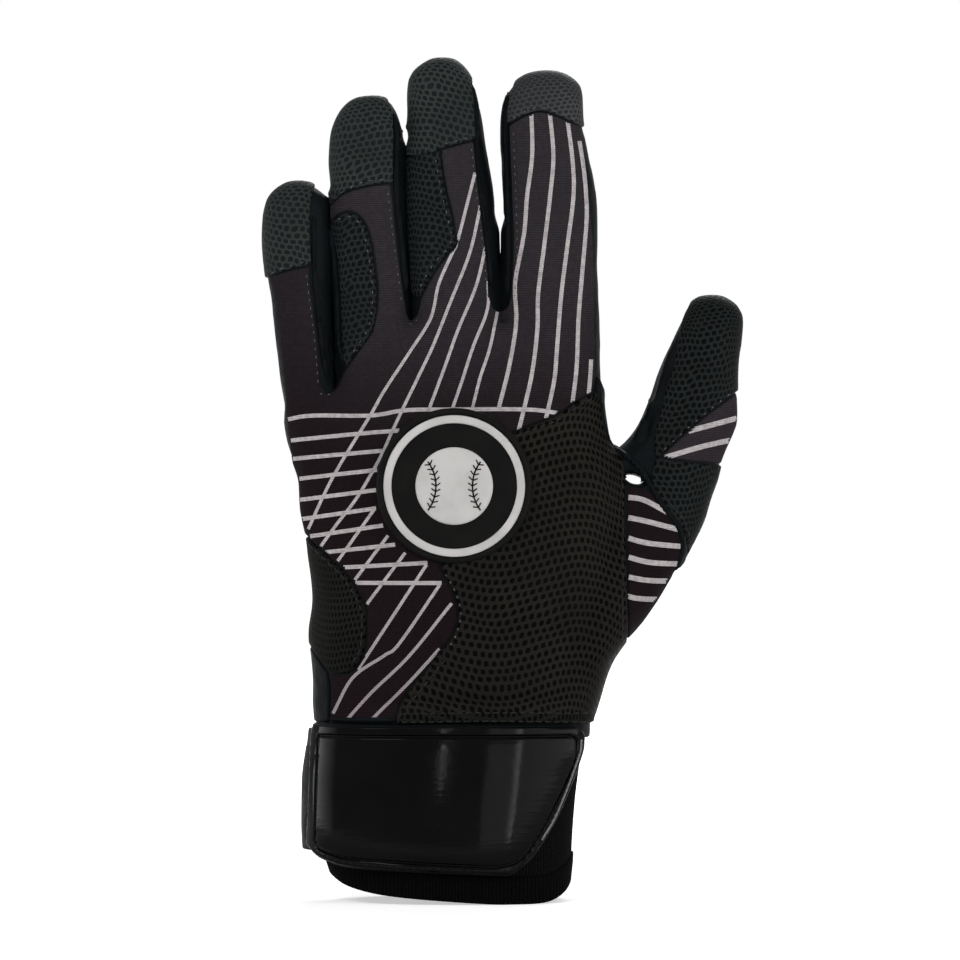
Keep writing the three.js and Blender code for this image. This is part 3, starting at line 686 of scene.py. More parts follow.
def add_piece(name, surface, material, zone, nodes=(), triangles=None):
    """One visible piece with its material, the body it rides on where it has one, and the CAD nodes that it
    stands for.
    """
    triangles = surface.triangles if triangles is None else triangles
    base = getattr(surface, "base", surface.points)
    data = np.hstack([surface.points, surface.normals, getattr(surface, "pattern", base)])
    a, b, c = (surface.points[triangles[:, k]] for k in range(3))
    area = np.linalg.norm(np.cross(b - a, c - a), axis=1)
    data, triangles = compact(data, triangles[area > SMALLEST_AREA])
    if name in frame["nodes"]:
        name += "_visual"
    obj = new_mesh_object(name, data[:, :3], triangles)
    mesh = obj.data
    mesh.polygons.foreach_set("use_smooth", [True] * len(mesh.polygons))
    add_attributes(mesh, data[:, 6:9])
    mesh.normals_split_custom_set_from_vertices([tuple(n) for n in data[:, 3:6]])
    mesh.materials.append(materials[material])
    place(obj, zone)
    if nodes:
        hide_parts(*nodes)
    return obj


def add_pieces(name, surface, material, nodes_of):
    """Splits a surface by zone, into one piece for each zone."""
    zone = zones_of(surface.points[surface.triangles].mean(1))
    surface.pattern = unrolled(getattr(surface, "base", surface.points))
    for k, zone_name in enumerate(ZONE_NAMES):
        mine = surface.triangles[zone == k]
        if len(mine) >= 4:
            piece_name = name if zone_name == "hand" else f"{name}_{zone_name}"
            add_piece(piece_name, surface, material, zone_name, nodes_of.get(zone_name, ()), mine)


# Materials
def linear(colour):
    """An sRGB colour of 0 to 255 as linear numbers."""
    share = np.array(colour, float) / 255
    return tuple(np.where(share <= 0.04045, share / 12.92, ((share + 0.055) / 1.055) ** 2.4)) + (1.0,)


class Graph:
    """Short names for building a material's nodes."""

    def __init__(self, name, roughness, **constants):
        self.material = bpy.data.materials.new(name)
        self.material.use_nodes = True
        self.tree = self.material.node_tree
        self.shader = self.tree.nodes["Principled BSDF"]
        self.shader.inputs["Roughness"].default_value = roughness
        for socket, value in constants.items():
            self.shader.inputs[socket.replace("_", " ")].default_value = value

    def plug(self, socket, value):
        if isinstance(value, bpy.types.NodeSocket):
            self.tree.links.new(value, socket)
        elif value is not None:
            socket.default_value = value

    def math(self, operation, a, b=None):
        made = self.tree.nodes.new("ShaderNodeMath")
        made.operation = operation
        for socket, value in zip(made.inputs, (a, b)):
            self.plug(socket, value)
        return made.outputs[0]

    def rest(self):
        made = self.tree.nodes.new("ShaderNodeAttribute")
        made.attribute_name = "rest"
        return made.outputs["Vector"]

    def split(self, vector):
        made = self.tree.nodes.new("ShaderNodeSeparateXYZ")
        self.plug(made.inputs[0], vector)
        return made.outputs

    def join(self, x, y, z):
        made = self.tree.nodes.new("ShaderNodeCombineXYZ")
        for socket, value in zip(made.inputs, (x, y, z)):
            self.plug(socket, value)
        return made.outputs[0]

    def noise(self, vector, scale, detail=2.0, roughness=0.5):
        made = self.tree.nodes.new("ShaderNodeTexNoise")
        self.plug(made.inputs["Vector"], vector)
        made.inputs["Scale"].default_value = scale
        made.inputs["Detail"].default_value = detail
        made.inputs["Roughness"].default_value = roughness
        return made.outputs["Fac"]

    def voronoi(self, vector, scale):
        made = self.tree.nodes.new("ShaderNodeTexVoronoi")
        self.plug(made.inputs["Vector"], vector)
        made.inputs["Scale"].default_value = scale
        return made.outputs["Distance"]

    def step(self, value, low, high, start=0.0, end=1.0):
        made = self.tree.nodes.new("ShaderNodeMapRange")
        made.interpolation_type = "SMOOTHSTEP"
        self.plug(made.inputs[0], value)
        for socket, number in zip(made.inputs[1:5], (low, high, start, end)):
            socket.default_value = number
        return made.outputs[0]

    def mix(self, share, a, b):
        made = self.tree.nodes.new("ShaderNodeMix")
        made.data_type = "RGBA"
        self.plug(made.inputs[0], share)
        for socket, colour in zip(made.inputs[6:8], (a, b)):
            self.plug(socket, linear(colour) if isinstance(colour, (tuple, list)) else colour)
        return made.outputs[2]

    def bump(self, height, distance, strength=1.0, below=None):
        made = self.tree.nodes.new("ShaderNodeBump")
        made.inputs["Strength"].default_value = strength
        made.inputs["Distance"].default_value = distance
        self.plug(made.inputs["Height"], height)
        self.plug(made.inputs["Normal"], below)
        return made.outputs[0]

    def finish(self, colour, normal=None, roughness=None):
        for name, value in (("Base Color", colour), ("Normal", normal), ("Roughness", roughness)):
            self.plug(self.shader.inputs[name], value)
        return self.material


KNIT_ROW = 0.58 * MM
KNIT_COLUMN = 0.62 * MM
KNIT_DEPTH = 0.05 * MM
# Where the painted shade turns on the knit, on the grip's ground and on the stripes: darker low down, and on
# the knit also towards the little finger
KNIT_SHADE_X = (-0.048, -0.016)
KNIT_SHADE_Z = (0.105, 0.17)
GROUND_SHADE_Z = (0.08, 0.115)
STRIPE_SHADE_Z = (0.05, 0.09)
DOT_WAVES = (46 * MM, 52 * MM)
RIB_LOOP = 0.7 * MM


def knit_material(name, hand, little, fingers):
    """Stretch knit: fine rows across, small stitches along them, and painted shade that is darkest on the
    hand, darker on the little finger's side and lightest up the fingers.
    """
    g = Graph(name, 0.85, Sheen_Weight=0.02, Sheen_Roughness=0.4, Specular_IOR_Level=0.015)
    rest = g.rest()
    x, _, z = g.split(rest)
    drift = g.math("MULTIPLY", g.noise(rest, 90.0), 0.35 * KNIT_ROW)
    rows = g.math("MULTIPLY", g.math("ADD", z, drift), TURN / KNIT_ROW)
    wave = g.math("SINE", rows)
    lift = g.math("ABSOLUTE", g.math("SINE", g.math("MULTIPLY", x, TURN / 2 / KNIT_COLUMN)))
    stitch = g.math("ADD", g.math("MULTIPLY", wave, 0.35), g.math("MULTIPLY", lift, 0.3))
    height = g.math("ADD", stitch, 0.4)
    heather = g.noise(rest, 900.0, 3.0)
    cloud = g.noise(rest, 40.0)
    # Painted shade: the knit is darker in the hollows between rows and stitches and in soft cloud patches;
    # the heather flecks are the yarn's own.
    share = g.math("MULTIPLY", g.step(height, 0.1, 0.95), g.step(heather, 0.3, 0.75, 0.45, 1.0))
    share = g.math("MULTIPLY", share, g.step(cloud, 0.3, 0.7, 0.75, 1.0))
    # Painted shade: the hand's colours low down, the little finger's colours towards its side, the fingers'
    # colours above.
    low, edge, high = (g.mix(share, dark, light) for dark, light in (hand, little, fingers))
    high = g.mix(g.step(x, *KNIT_SHADE_X), edge, high)
    return g.finish(g.mix(g.step(z, *KNIT_SHADE_Z), low, high), g.bump(height, KNIT_DEPTH))


def dot_material(name, base, dot, across, down, size, wave, bump, jitter):
    """Grip material with rows of raised rounded dots that run in waves, more or less even."""
    g = Graph(name, 0.5, Specular_IOR_Level=0.02)
    rest = g.rest()
    x, _, z = g.split(rest)
    swell = g.math("MULTIPLY", g.math("SINE", g.math("MULTIPLY", x, TURN / DOT_WAVES[0])), wave)
    sway = g.math("MULTIPLY", g.math("SINE", g.math("MULTIPLY", z, TURN / DOT_WAVES[1])), wave * 0.8)
    uneven = g.math("MULTIPLY", g.math("SUBTRACT", g.noise(rest, 150.0, 1.0), 0.5), jitter * down * 3)
    v = g.math("DIVIDE", g.math("ADD", g.math("ADD", z, swell), uneven), down)
    row = g.math("FLOOR", v)
    shift = g.math("MULTIPLY", g.math("MODULO", row, 2.0), 0.5)
    u = g.math("DIVIDE", g.math("ADD", g.math("ADD", x, 1.0), g.math("ADD", sway, uneven)), across)
    u = g.math("ADD", u, shift)
    du = g.math("ABSOLUTE", g.math("SUBTRACT", g.math("FRACT", u), 0.5))
    dv = g.math("ABSOLUTE", g.math("SUBTRACT", g.math("FRACT", v), 0.5))
    du = g.math("POWER", g.math("MULTIPLY", du, 2.0), 3.0)
    dv = g.math("POWER", g.math("MULTIPLY", dv, 2.0), 3.0)
    reach = g.math("POWER", g.math("ADD", du, dv), 1 / 3)
    mask = g.step(reach, size + 0.12, size - 0.12)
    grain = g.noise(rest, 1500.0, 3.0)
    cloud = g.noise(rest, 60.0)
    # Painted shade on the grip's ground: darker in soft cloud patches and low down; the dots keep their own
    # colour.
    shade = g.math("ADD", g.step(cloud, 0.3, 0.7, 0.0, 0.4), g.step(z, *GROUND_SHADE_Z, 0.15, 0.0))
    ground = g.mix(shade, base, [c * 0.6 for c in base])
    colour = g.mix(mask, ground, dot)
    normal = g.bump(grain, 0.05 * MM, 0.6)
    normal = g.bump(mask, bump, 1.0, normal)
    return g.finish(colour, normal, g.step(mask, 0, 1, 0.6, 0.42))


def leather_material(name, dark, light, roughness=0.5, grain=1.0):
    """Smooth goatskin: a pebbled grain, faint creases and soft patches of a paler tone."""
    g = Graph(name, roughness, Specular_IOR_Level=0.03)
    rest = g.rest()
    pebble = g.voronoi(rest, 1300.0 / grain)
    crease = g.noise(rest, 260.0, 4.0, 0.65)
    cloud = g.noise(rest, 35.0, 3.0)
    colour = g.mix(g.step(cloud, 0.3, 0.72), dark, light)
    normal = g.bump(pebble, 0.06 * MM, 0.7)
    normal = g.bump(crease, 0.35 * MM, 0.7, normal)
    return g.finish(colour, normal, g.step(crease, 0.3, 0.7, roughness + 0.1, roughness - 0.08))


def stripe_material():
    """Pale print on the knit: the fabric's rows show through it as painted shade in their hollows, and
    painted shade makes it darker low down.
    """
    g = Graph("stripe_print", 0.7, Specular_IOR_Level=0.1)
    rest = g.rest()
    _, _, z = g.split(rest)
    wave = g.math("SINE", g.math("MULTIPLY", z, TURN / KNIT_ROW))
    cloud = g.noise(rest, 700.0, 2.0)
    share = g.math("ADD", g.math("MULTIPLY", wave, 0.09), cloud)
    colour = g.mix(g.step(share, 0.2, 0.75), (148, 142, 143), (182, 176, 177))
    # Painted shade: the stripes turn darker low down.
    colour = g.mix(g.step(z, *STRIPE_SHADE_Z), (140, 132, 134), colour)
    return g.finish(colour, g.bump(wave, 0.04 * MM))


def gloss_material():
    """Patent material of the strap: deep black, glossy, softly uneven."""
    g = Graph("strap_patent", 0.1, Specular_IOR_Level=0.055)
    rest = g.rest()
    slow = g.noise(rest, 70.0, 2.0)
    x, _, z = g.split(rest)
    quick = g.noise(g.join(g.math("MULTIPLY", x, 0.12), 0.0, z), 900.0, 3.0)
    grain = g.voronoi(rest, 900.0)
    colour = g.mix(g.step(slow, 0.35, 0.7), (1, 1, 1), (4, 4, 4))
    normal = g.bump(grain, 0.03 * MM, 0.12)
    normal = g.bump(quick, 0.05 * MM, 0.35, normal)
    normal = g.bump(slow, 0.6 * MM, 0.1, normal)
    return g.finish(colour, normal, g.step(quick, 0.3, 0.7, 0.12, 0.07))


def rib_material(name, pitch, depth, dark, light):
    """Black rib knit of the cuff, with ribs that run up the wrist and painted shade in their hollows."""
    g = Graph(name, 0.9, Specular_IOR_Level=0.015)
    rest = g.rest()
    x, _, z = g.split(rest)
    rib = g.math("SINE", g.math("MULTIPLY", x, TURN / pitch))
    loop = g.math("SINE", g.math("MULTIPLY", z, TURN / RIB_LOOP))
    height = g.math("ADD", g.math("MULTIPLY", rib, 0.4), g.math("MULTIPLY", loop, 0.15))
    fuzz = g.noise(rest, 1200.0, 3.0)
    # Painted shade: lighter on the ribs' crests, darker in their hollows; the fuzz varies it at random.
    share = g.math("MULTIPLY", g.step(height, -0.5, 0.5, 0.2, 1.0), g.step(fuzz, 0.3, 0.7, 0.5, 1.0))
    colour = g.mix(share, dark, light)
    return g.finish(colour, g.bump(height, depth))


def rubber_material(name, colour, worn, roughness):
    """Moulded rubber with a fine matt grain."""
    g = Graph(name, roughness, Specular_IOR_Level=0.03)
    rest = g.rest()
    grain = g.noise(rest, 2200.0, 2.0)
    cloud = g.noise(rest, 120.0, 3.0)
    mixed = g.mix(g.step(cloud, 0.35, 0.75), colour, worn)
    return g.finish(mixed, g.bump(grain, 0.03 * MM, 0.6))


def pile_material():
    """Hook-and-loop tape: a dense black pile."""
    g = Graph("hook_and_loop", 0.95, Specular_IOR_Level=0.05)
    rest = g.rest()
    tuft = g.voronoi(rest, 1500.0)
    colour = g.mix(g.step(tuft, 0.1, 0.6), (26, 26, 26), (8, 8, 8))
    return g.finish(colour, g.bump(tuft, 0.4 * MM))


def thread_material(name, dark, light):
    """Sewing thread with a fine twist."""
    g = Graph(name, 0.6, Specular_IOR_Level=0.1)
    rest = g.rest()
    twist = g.noise(rest, 2600.0, 1.0)
    return g.finish(g.mix(g.step(twist, 0.3, 0.7), dark, light))


# Dots: ground, dot, width and height of a cell in millimetres, size, wave and bump in
# millimetres, and how uneven they are.
DOTS = {
    "grip": ((33, 31, 28), (2, 2, 2), 1.95, 2.1, 0.6, 2.2, 0.2, 0.16),
    "fine_grip": ((26, 26, 24), (2, 2, 2), 1.6, 1.7, 0.6, 1.5, 0.15, 0.2),
    "tip": ((49, 54, 53), (23, 26, 27), 1.75, 1.6, 0.66, 1.5, 0.2, 0.6),
    # A lighter copy of the tip dots for the index finger: painted light, where light falls on that tip.
    "index_tip_painted_light": ((64, 66, 67), (38, 40, 41), 1.7, 1.25, 0.66, 1.5, 0.2, 0.6),
    "side_grip": ((34, 38, 38), (11, 13, 14), 1.75, 1.6, 0.66, 1.5, 0.2, 0.6),
    "thumb_grip": ((31, 34, 34), (5, 6, 6), 1.7, 1.65, 0.64, 1.5, 0.2, 0.5),
}
THREADS = {
    "black_thread": ((2, 2, 2), (9, 9, 9)), "grey_thread": ((20, 20, 20), (40, 40, 40)),
    "pale_thread": ((62, 64, 64), (110, 112, 112)), "palm_thread": ((40, 41, 42), (70, 72, 73)),
    "cut_edge": ((84, 86, 88), (122, 124, 126)),
}
THUMB_KNIT = ((36, 32, 35), (56, 51, 55))
materials = {
    # The knit's three colour pairs are painted shade: darkest on the hand, darker on the little finger's
    # side, lightest up the fingers.
    "knit": knit_material("print_knit", ((21, 15, 17), (32, 25, 28)), ((27, 23, 26), (42, 37, 41)),
                          ((37, 34, 37), (57, 53, 57))),
    "thumb_knit": knit_material("thumb_knit", THUMB_KNIT, THUMB_KNIT, THUMB_KNIT),
    "leather": leather_material("black_leather", (7, 10, 12), (16, 20, 22)),
    "palm_patch": leather_material("palm_patch", (19, 22, 24), (28, 32, 34), 0.55, 0.7),
    "stripe": stripe_material(),
    "gloss": gloss_material(),
    "rib": rib_material("cuff_rib", 0.9 * MM, 0.1 * MM, (5, 5, 5), (20, 18, 19)),
    "hem": rib_material("hem_rib", 1.1 * MM, 0.2 * MM, (3, 3, 3), (13, 12, 12)),
    "badge_black": rubber_material("badge_black", (14, 15, 14), (20, 20, 19), 0.5),
    "badge_white": rubber_material("badge_white", (192, 190, 188), (178, 176, 174), 0.45),
    "pile": pile_material(),
}
for key, (ground, dot, across, down, size, wave, bump, jitter) in DOTS.items():
    materials[key] = dot_material(key + "_dots", ground, dot, across * MM, down * MM, size, wave * MM,
                                  bump * MM,
                                  jitter)
for key, colours in THREADS.items():
    materials[key] = thread_material(key, *colours)

# Seams of the back, in pixels of the photograph
WRIST_ROW = 722
LITTLE_RIGHT = [(322, 392), (320, 360), (317, 330), (312, 290), (310, 268)]
LITTLE_BORDER = [(313, 266), (290, 271), (262, 281)]
LITTLE_LEFT = [(270, 281), (275, 292), (281, 340), (287, 400)]
RING_RIGHT = [(408, 322), (406, 310), (398, 250), (392, 190), (391, 185)]
RING_BORDER = [(394, 184), (365, 188), (344, 195), (331, 206)]
RING_INSERT = [(331, 224), (339, 216), (352, 213), (364, 222), (371, 240), (376, 270), (378, 300), (373, 332),
               (345, 372)]
MIDDLE_RIGHT = [(491, 308), (490, 300), (487, 260), (480, 200), (474, 142)]
MIDDLE_BORDER = [(476, 141), (458, 146), (440, 151)]
MIDDLE_INSERT = [(440, 151), (446, 190), (452, 215), (457, 245)]
MIDDLE_INSERT_END = [(457, 245), (437, 270), (421, 299)]
INDEX_LEFT = [(510, 308), (512, 280), (513, 250), (512, 200), (509, 126)]
INDEX_BORDER = [(507, 126), (525, 117), (540, 113), (555, 117), (584, 129)]
INDEX_RIGHT = [(580, 127), (585, 160), (589, 200), (592, 240), (594, 290)]
GRIP_TOP = [(511, 434), (535, 424), (555, 416), (575, 402), (591, 394), (604, 391)]
GRIP_LEFT = [(441, 567), (448, 581), (454, 593), (458, 613), (453, 634), (441, 649), (424, 671), (405, 695),
             (395, WRIST_ROW)]
GRIP_RIGHT = [(604, 391), (608, 420), (615, 445), (624, 462), (625, 520), (625, 645), (600, WRIST_ROW)]
ULNAR_GRIP = [(306, 534), (334, 559), (349, 574), (366, 603), (368, 622), (366, 651), (356, 668), (346, 673),
              (330, 671)]
ULNAR_LEATHER = [(330, 671), (332, 690), (331, WRIST_ROW)]
PALM_LEFT = [(287, 400), (288, 420), (293, 459), (299, 500), (306, 534)]
THUMB_RIDGE = [(655, 462), (653, 440), (661, 405), (670, 375), (677, 345), (683, 322), (691, 305), (700, 290)]
THUMB_BORDER = [(748, 386), (735, 393), (700, 420), (672, 445), (655, 462)]
STRAP_TOP = [(655, 457), (690, 462), (735, 465)]
THUMB_SEAM = [(655, 457), (650, 478), (655, 497), (665, 510), (678, 527), (683, 540), (680, 560), (672, 573)]


def print_outlines():
    """The striped print panel: one outline on the hand and one on each finger."""
    hand = outline(
        [(331, WRIST_ROW), (395, WRIST_ROW)], GRIP_LEFT[::-1], [(441, 567), (474, 510), (511, 434)],
        GRIP_TOP[:-1], [(591, 394), (594, 380), (594, 340), (594, 300)], [(594, 300), (510, 300)],
        [(510, 300), (508, 307), (500, 311), (493, 308), (491, 300)], [(491, 300), (421, 299)],
        [(421, 299), (418, 314), (411, 321), (407, 316), (406, 310)], [(406, 310), (378, 306)],
        RING_INSERT[7:], [(345, 372), (338, 388), (328, 394), (322, 385)], [(322, 385), (287, 385)],
        PALM_LEFT, ULNAR_GRIP, ULNAR_LEATHER,
    )
    little = outline(LITTLE_RIGHT, LITTLE_BORDER, LITTLE_LEFT, [(287, 400), (322, 400)])
    ring = outline(RING_RIGHT, RING_BORDER, RING_INSERT[:8], [(373, 332), (408, 332)])
    middle = outline(MIDDLE_RIGHT, MIDDLE_BORDER, MIDDLE_INSERT, MIDDLE_INSERT_END,
                     [(421, 299), (440, 325), (491, 320)])
    index = outline(INDEX_LEFT, INDEX_BORDER[1:-1], INDEX_RIGHT, [(594, 290), (594, 320)],
                    [(594, 320), (510, 320)])
    return [hand, little, ring, middle, index]


def tip_outlines():
    """The dotted overlays over the fingertips."""
    return {
        "little": outline(LITTLE_BORDER, [(262, 281), (250, 240), (250, 170)], [(250, 170), (318, 170)],
                          [(318, 170), (315, 190), (312, 205), (311, 235), (313, 266)]),
        "ring": outline(RING_BORDER, [(331, 206), (328, 192), (318, 160), (318, 130), (320, 90)],
                        [(320, 90), (380, 85)], [(380, 85), (389, 104), (393, 120), (394, 184)]),
        "middle": outline(MIDDLE_BORDER, [(440, 151), (430, 156), (408, 158)],
                          [(408, 158), (405, 130), (396, 50)],
                          [(396, 50), (455, 45)], [(455, 45), (467, 62), (472, 90), (476, 141)]),
        "index": outline(INDEX_BORDER, [(584, 129), (596, 100), (590, 60)], [(590, 60), (530, 60)],
                         [(530, 60), (517, 80), (509, 102), (507, 126)]),
    }


def stripe_lines():
    """The pale stripes of the print, as lines of pixels."""
    return [
        [(531, 110), (532, 156), (527, 197), (524, 234), (516, 277), (515, 294), (516, 324), (509, 367),
         (498, 411)],
        [(549, 110), (553, 156), (550, 195), (544, 246), (538, 294), (537, 331), (532, 372), (524, 408),
         (518, 432)],
        [(566, 114), (572, 161), (573, 197), (567, 246), (561, 294), (557, 343), (554, 379), (548, 408),
         (544, 424)],
        [(579, 142), (583, 168), (585.5, 195), (586, 222), (582, 270), (578, 319), (576, 367), (571, 410)],
        [(590.5, 360), (589.5, 378), (588, 394)],
        [(286, 420), (313, 416), (371, 416), (405, 411), (446, 410), (526, 410), (561, 414)],
        [(287, 441), (361, 434), (400, 431)],
        [(292, 459), (383, 451)],
        [(297, 479), (378, 470)],
        [(299, 500), (377, 490)],
        [(302, 519), (377, 508)],
        [(311, 536), (384, 525)],
        [(325, 552), (396, 544)],
        [(340, 567), (428, 562)],
        [(355, 582), (442, 582)],
    ]


def fan_lines():
    """The finer stripes that fan out from the middle finger over the hand."""
    return [
        [(475, 174), (458, 241), (453, 253), (439, 285), (431, 319), (410, 353), (385, 391), (371, 416),
         (334, 477), (309, 529)],
        [(481, 204), (470, 253), (451, 302), (434, 345), (419, 377), (404, 408), (391, 436), (381, 458),
         (359, 496), (337, 525), (321, 547)],
        [(486, 245), (476, 287), (458, 331), (446, 365), (429, 411)],
        [(488, 282), (487, 311), (473, 348), (463, 379), (452, 411)],
        [(498, 308), (490, 348), (480, 379), (472, 411)],
        [(376, 508), (337, 563)],
        [(389, 535), (356, 579)],
        [(406, 552), (368, 603)],
        [(427, 564), (359, 668)],
        [(440, 584), (400, 642), (385, 654), (354, 676), (334, 712)],
        [(452, 602), (410, 654), (373, 690), (347, 719)],
        [(440, 647), (410, 680), (383, 707), (368, 722)],
    ]


def wide_stripe_lines():
    """The broader stripes of the thumb and its web."""
    return [
        [(682, 433), (715, 424), (745, 416)],
        [(660, 459), (700, 447), (740, 438)],
        [(625, 497), (643, 500), (668, 513)],
        [(625, 517), (645, 521), (684, 531)],
        [(625, 537), (648, 543), (690, 547)],
        [(625, 556), (650, 562), (690, 564)],
        [(625, 576), (650, 580), (690, 581)],
        [(625, 595), (640, 598), (680, 600)],
    ]


STRIPE_COLUMNS = (-1.0, -0.4, 0.4, 1.0)
STRIPE_STEP = 0.4 * MM
STRIPE_SPREAD = 1.5 * MM


def sideways(path):
    """For each point of a line in the front view, the direction square to the line."""
    tangent = np.gradient(path, axis=0)
    tangent /= np.linalg.norm(tangent, axis=1, keepdims=True)
    return np.stack([tangent[:, 1], -tangent[:, 0]], 1)


def cast(tree, x, z, facing=-1):
    """Where a line of sight along y meets the surface of a tree, and the normal there."""
    return tree.ray_cast((x, facing * 0.1, z), (0, -facing, 0))[:2]


def stripes(print_surface):
    """Thin printed bands that follow the print panel."""
    tree = print_surface.tree()
    points = []
    triangles = []
    lines = [(line, STRIPE_WIDTH) for line in stripe_lines()]
    lines += [(line, FAN_STRIPE) for line in fan_lines()]
    lines += [(line, WIDE_STRIPE) for line in wide_stripe_lines()]
    for line, width in lines:
        centre = spline(flat(line), STRIPE_STEP)
        grid = {}
        for i, (c, s) in enumerate(zip(centre, sideways(centre))):
            for j, share in enumerate(STRIPE_COLUMNS):
                hit, normal = cast(tree, *(c + s * share * width / 2))
                if hit is not None and normal.y <= -0.12:
                    grid[i, j] = len(points)
                    points.append(np.array(hit + normal * STRIPE_LIFT))
        for i in range(len(centre) - 1):
            for j in range(len(STRIPE_COLUMNS) - 1):
                corners = [grid.get(k) for k in ((i, j), (i + 1, j), (i + 1, j + 1), (i, j + 1))]
                if None not in corners and np.ptp([points[k][1] for k in corners]) < STRIPE_SPREAD:
                    a, b, c, d = corners
                    triangles += [(a, b, c), (a, c, d)]
    return Surface(np.array(points), np.array(triangles))


def finger_nodes(kind_first, kind_last):
    """CAD nodes that the two stretches of each finger's piece stand for."""
    nodes = {}
    for name in FINGERS:
        nodes[f"{name}_first"] = [f"{name}_{kind}" for kind in kind_first]
        nodes[f"{name}_last"] = [f"{name}_{kind}" for kind in kind_last]
    return nodes


def band_outline(line, width):
    """The closed outline of a band of some columns' width along a line, narrower at its ends."""
    path = spline(flat(line))
    run = np.arange(len(path)) * CURVE_STEP / BINDING_TAPER
    taper = 0.15 + 0.85 * smoothstep(np.minimum(run, run[::-1]))
    side = sideways(path) * taper[:, None] * width * PIXEL / 2
    return np.vstack([path + side, (path - side)[::-1]])


def sewn_panels():
    """Name, outline, material, slot, thickness, side limit and zone of each panel on the skin."""
    panels = []
    for name, border in tip_outlines().items():
        # The index finger's tip takes the lighter copy of the dots as painted light.
        material = "index_tip_painted_light" if name == "index" else "tip"
        panels.append((f"{name}_tip_overlay", border, material, "tip_texture", TIP_THICKNESS, 1.5 * MM,
                       f"{name}_last"))
    ring = outline(RING_INSERT, [(345, 372), (343, 345), (341, 300), (338, 260), (331, 224)])
    middle = outline(MIDDLE_INSERT, MIDDLE_INSERT_END, [(421, 299), (412, 290), (407, 220), (406, 158)],
                     [(406, 158), (440, 151)])
    grip = outline([(395, WRIST_ROW), (600, WRIST_ROW)], GRIP_RIGHT[::-1], GRIP_TOP[::-1],
                   [(511, 434), (474, 510), (441, 567)], GRIP_LEFT)
    ulnar = outline(ULNAR_GRIP, [(330, 671), (318, 655), (309, 640)],
                    [(309, 640), (296, 600), (296, 534), (306, 534)])
    low = outline([(309, 640), (318, 655), (330, 671)], ULNAR_LEATHER, [(331, WRIST_ROW), (290, WRIST_ROW)],
                  [(290, WRIST_ROW), (290, 640), (309, 640)])
    strap = outline(STRAP_TOP, [(735, 465), (735, 520), (700, 590), (672, 573)], THUMB_SEAM[::-1])
    back = outline(THUMB_BORDER, THUMB_RIDGE, [(700, 290), (712, 280), (760, 290)], [(760, 290), (748, 386)])
    return panels + [
        ("ring_insert", ring, "side_grip", "tip_texture", INSERT_THICKNESS, 0, "ring_first"),
        ("middle_insert", middle, "side_grip", "tip_texture", INSERT_THICKNESS, 0, "middle_first"),
        ("grip_panel", grip, "grip", "dot_texture", GRIP_THICKNESS, None, "hand"),
        ("ulnar_grip_panel", ulnar, "fine_grip", "dot_texture", GRIP_THICKNESS, 0, "hand"),
        ("ulnar_leather", low, "leather", "leather", LEATHER_THICKNESS, 0, "hand"),
        ("thumb_strap_panel", strap, "thumb_grip", "dot_texture", GRIP_THICKNESS, 3 * MM, "hand"),
        ("thumb_back", back, "thumb_grip", "tip_texture", TIP_THICKNESS, 3.5 * MM, "thumb"),
    ]


def print_panels():
    """Name, outlines, material, side limit and CAD nodes of each striped piece."""
    nodes = finger_nodes(("back",), ("tip_back",))
    nodes["hand"] = ["back_print_panel"]
    web = outline([(626, 655), (626, 485)], [(626, 485), (638, 487), (651, 492)], THUMB_SEAM[2:],
                  [(672, 573), (665, 600), (640, 650), (626, 655)])
    thumb = outline(THUMB_BORDER, STRAP_TOP, [(735, 465), (752, 430), (748, 386)])
    return [
        ("print_panel", print_outlines(), "knit", None, nodes),
        ("thumb_web_panel", [web], "knit", None, {"hand": ["thumb_web_panel"]}),
        ("thumb_print", [thumb], "thumb_knit", 2 * MM, {"thumb": ["thumb_print"]}),
    ]


# Patches on the palm side: outline runs of pixels, and the share of its size that each seam has.
PALM_PATCHES = {
    "heel_patch": ([(324, 716), (319, 640), (323, 590), (345, 565), (380, 556)],
                   [(380, 556), (420, 578), (442, 622), (452, 670), (455, 716)], [(455, 716), (324, 716)]),
    "palm_patch": ([(303, 462), (330, 440), (420, 414), (500, 402), (580, 412)],
                   [(580, 412), (600, 424), (600, 446)],
                   [(600, 446), (580, 474), (500, 466), (420, 486), (330, 530)],
                   [(330, 530), (308, 520), (303, 462)]),
}
PATCH_THICKNESS = 0.6 * MM
PATCH_SEAM = 0.92
# Narrow bindings: name, lines of pixels, width in columns, thickness and material.
BINDINGS = [
    ("crotch_piping", [[(596, 376), (599, 402), (604, 430), (613, 447), (628, 458), (641, 470), (650, 485),
                        (657, 498), (666, 511), (677, 527), (681, 542), (679, 558), (672, 570)]],
     7, 1.0 * MM, "leather"),
    ("wrist_binding", [[(325, 718), (360, 718), (402, 717)]], 7, 0.95 * MM, "leather"),
    ("wrist_hem", [[(394, 716), (500, 715), (602, 717)]], 12, 0.95 * MM, "fine_grip"),
    ("finger_piping", [[(327, 381), (322, 345), (318, 310), (315, 275), (314, 240), (315, 208)],
                       [(348, 370), (340, 345), (338, 300), (335, 260), (331, 226)],
                       [(406, 296), (402, 250), (396, 190), (397, 140), (393, 112)],
                       [(491, 292), (486, 240), (479, 187), (476, 145), (475, 110), (468, 80)],
                       [(508, 300), (508, 280), (509, 250), (508, 200), (505, 130), (509, 92)]],
     5, 0.75 * MM, "leather"),
]
BINDING_TAPER = 4 * MM
# How far round the side bindings reach: least at the edge of the hand below the index finger
BINDING_LIMIT_X = (30 * MM, 36 * MM, 40 * MM, 45.5 * MM)
BINDING_LIMIT_Y = (6 * MM, -2 * MM, -2 * MM, 6 * MM)
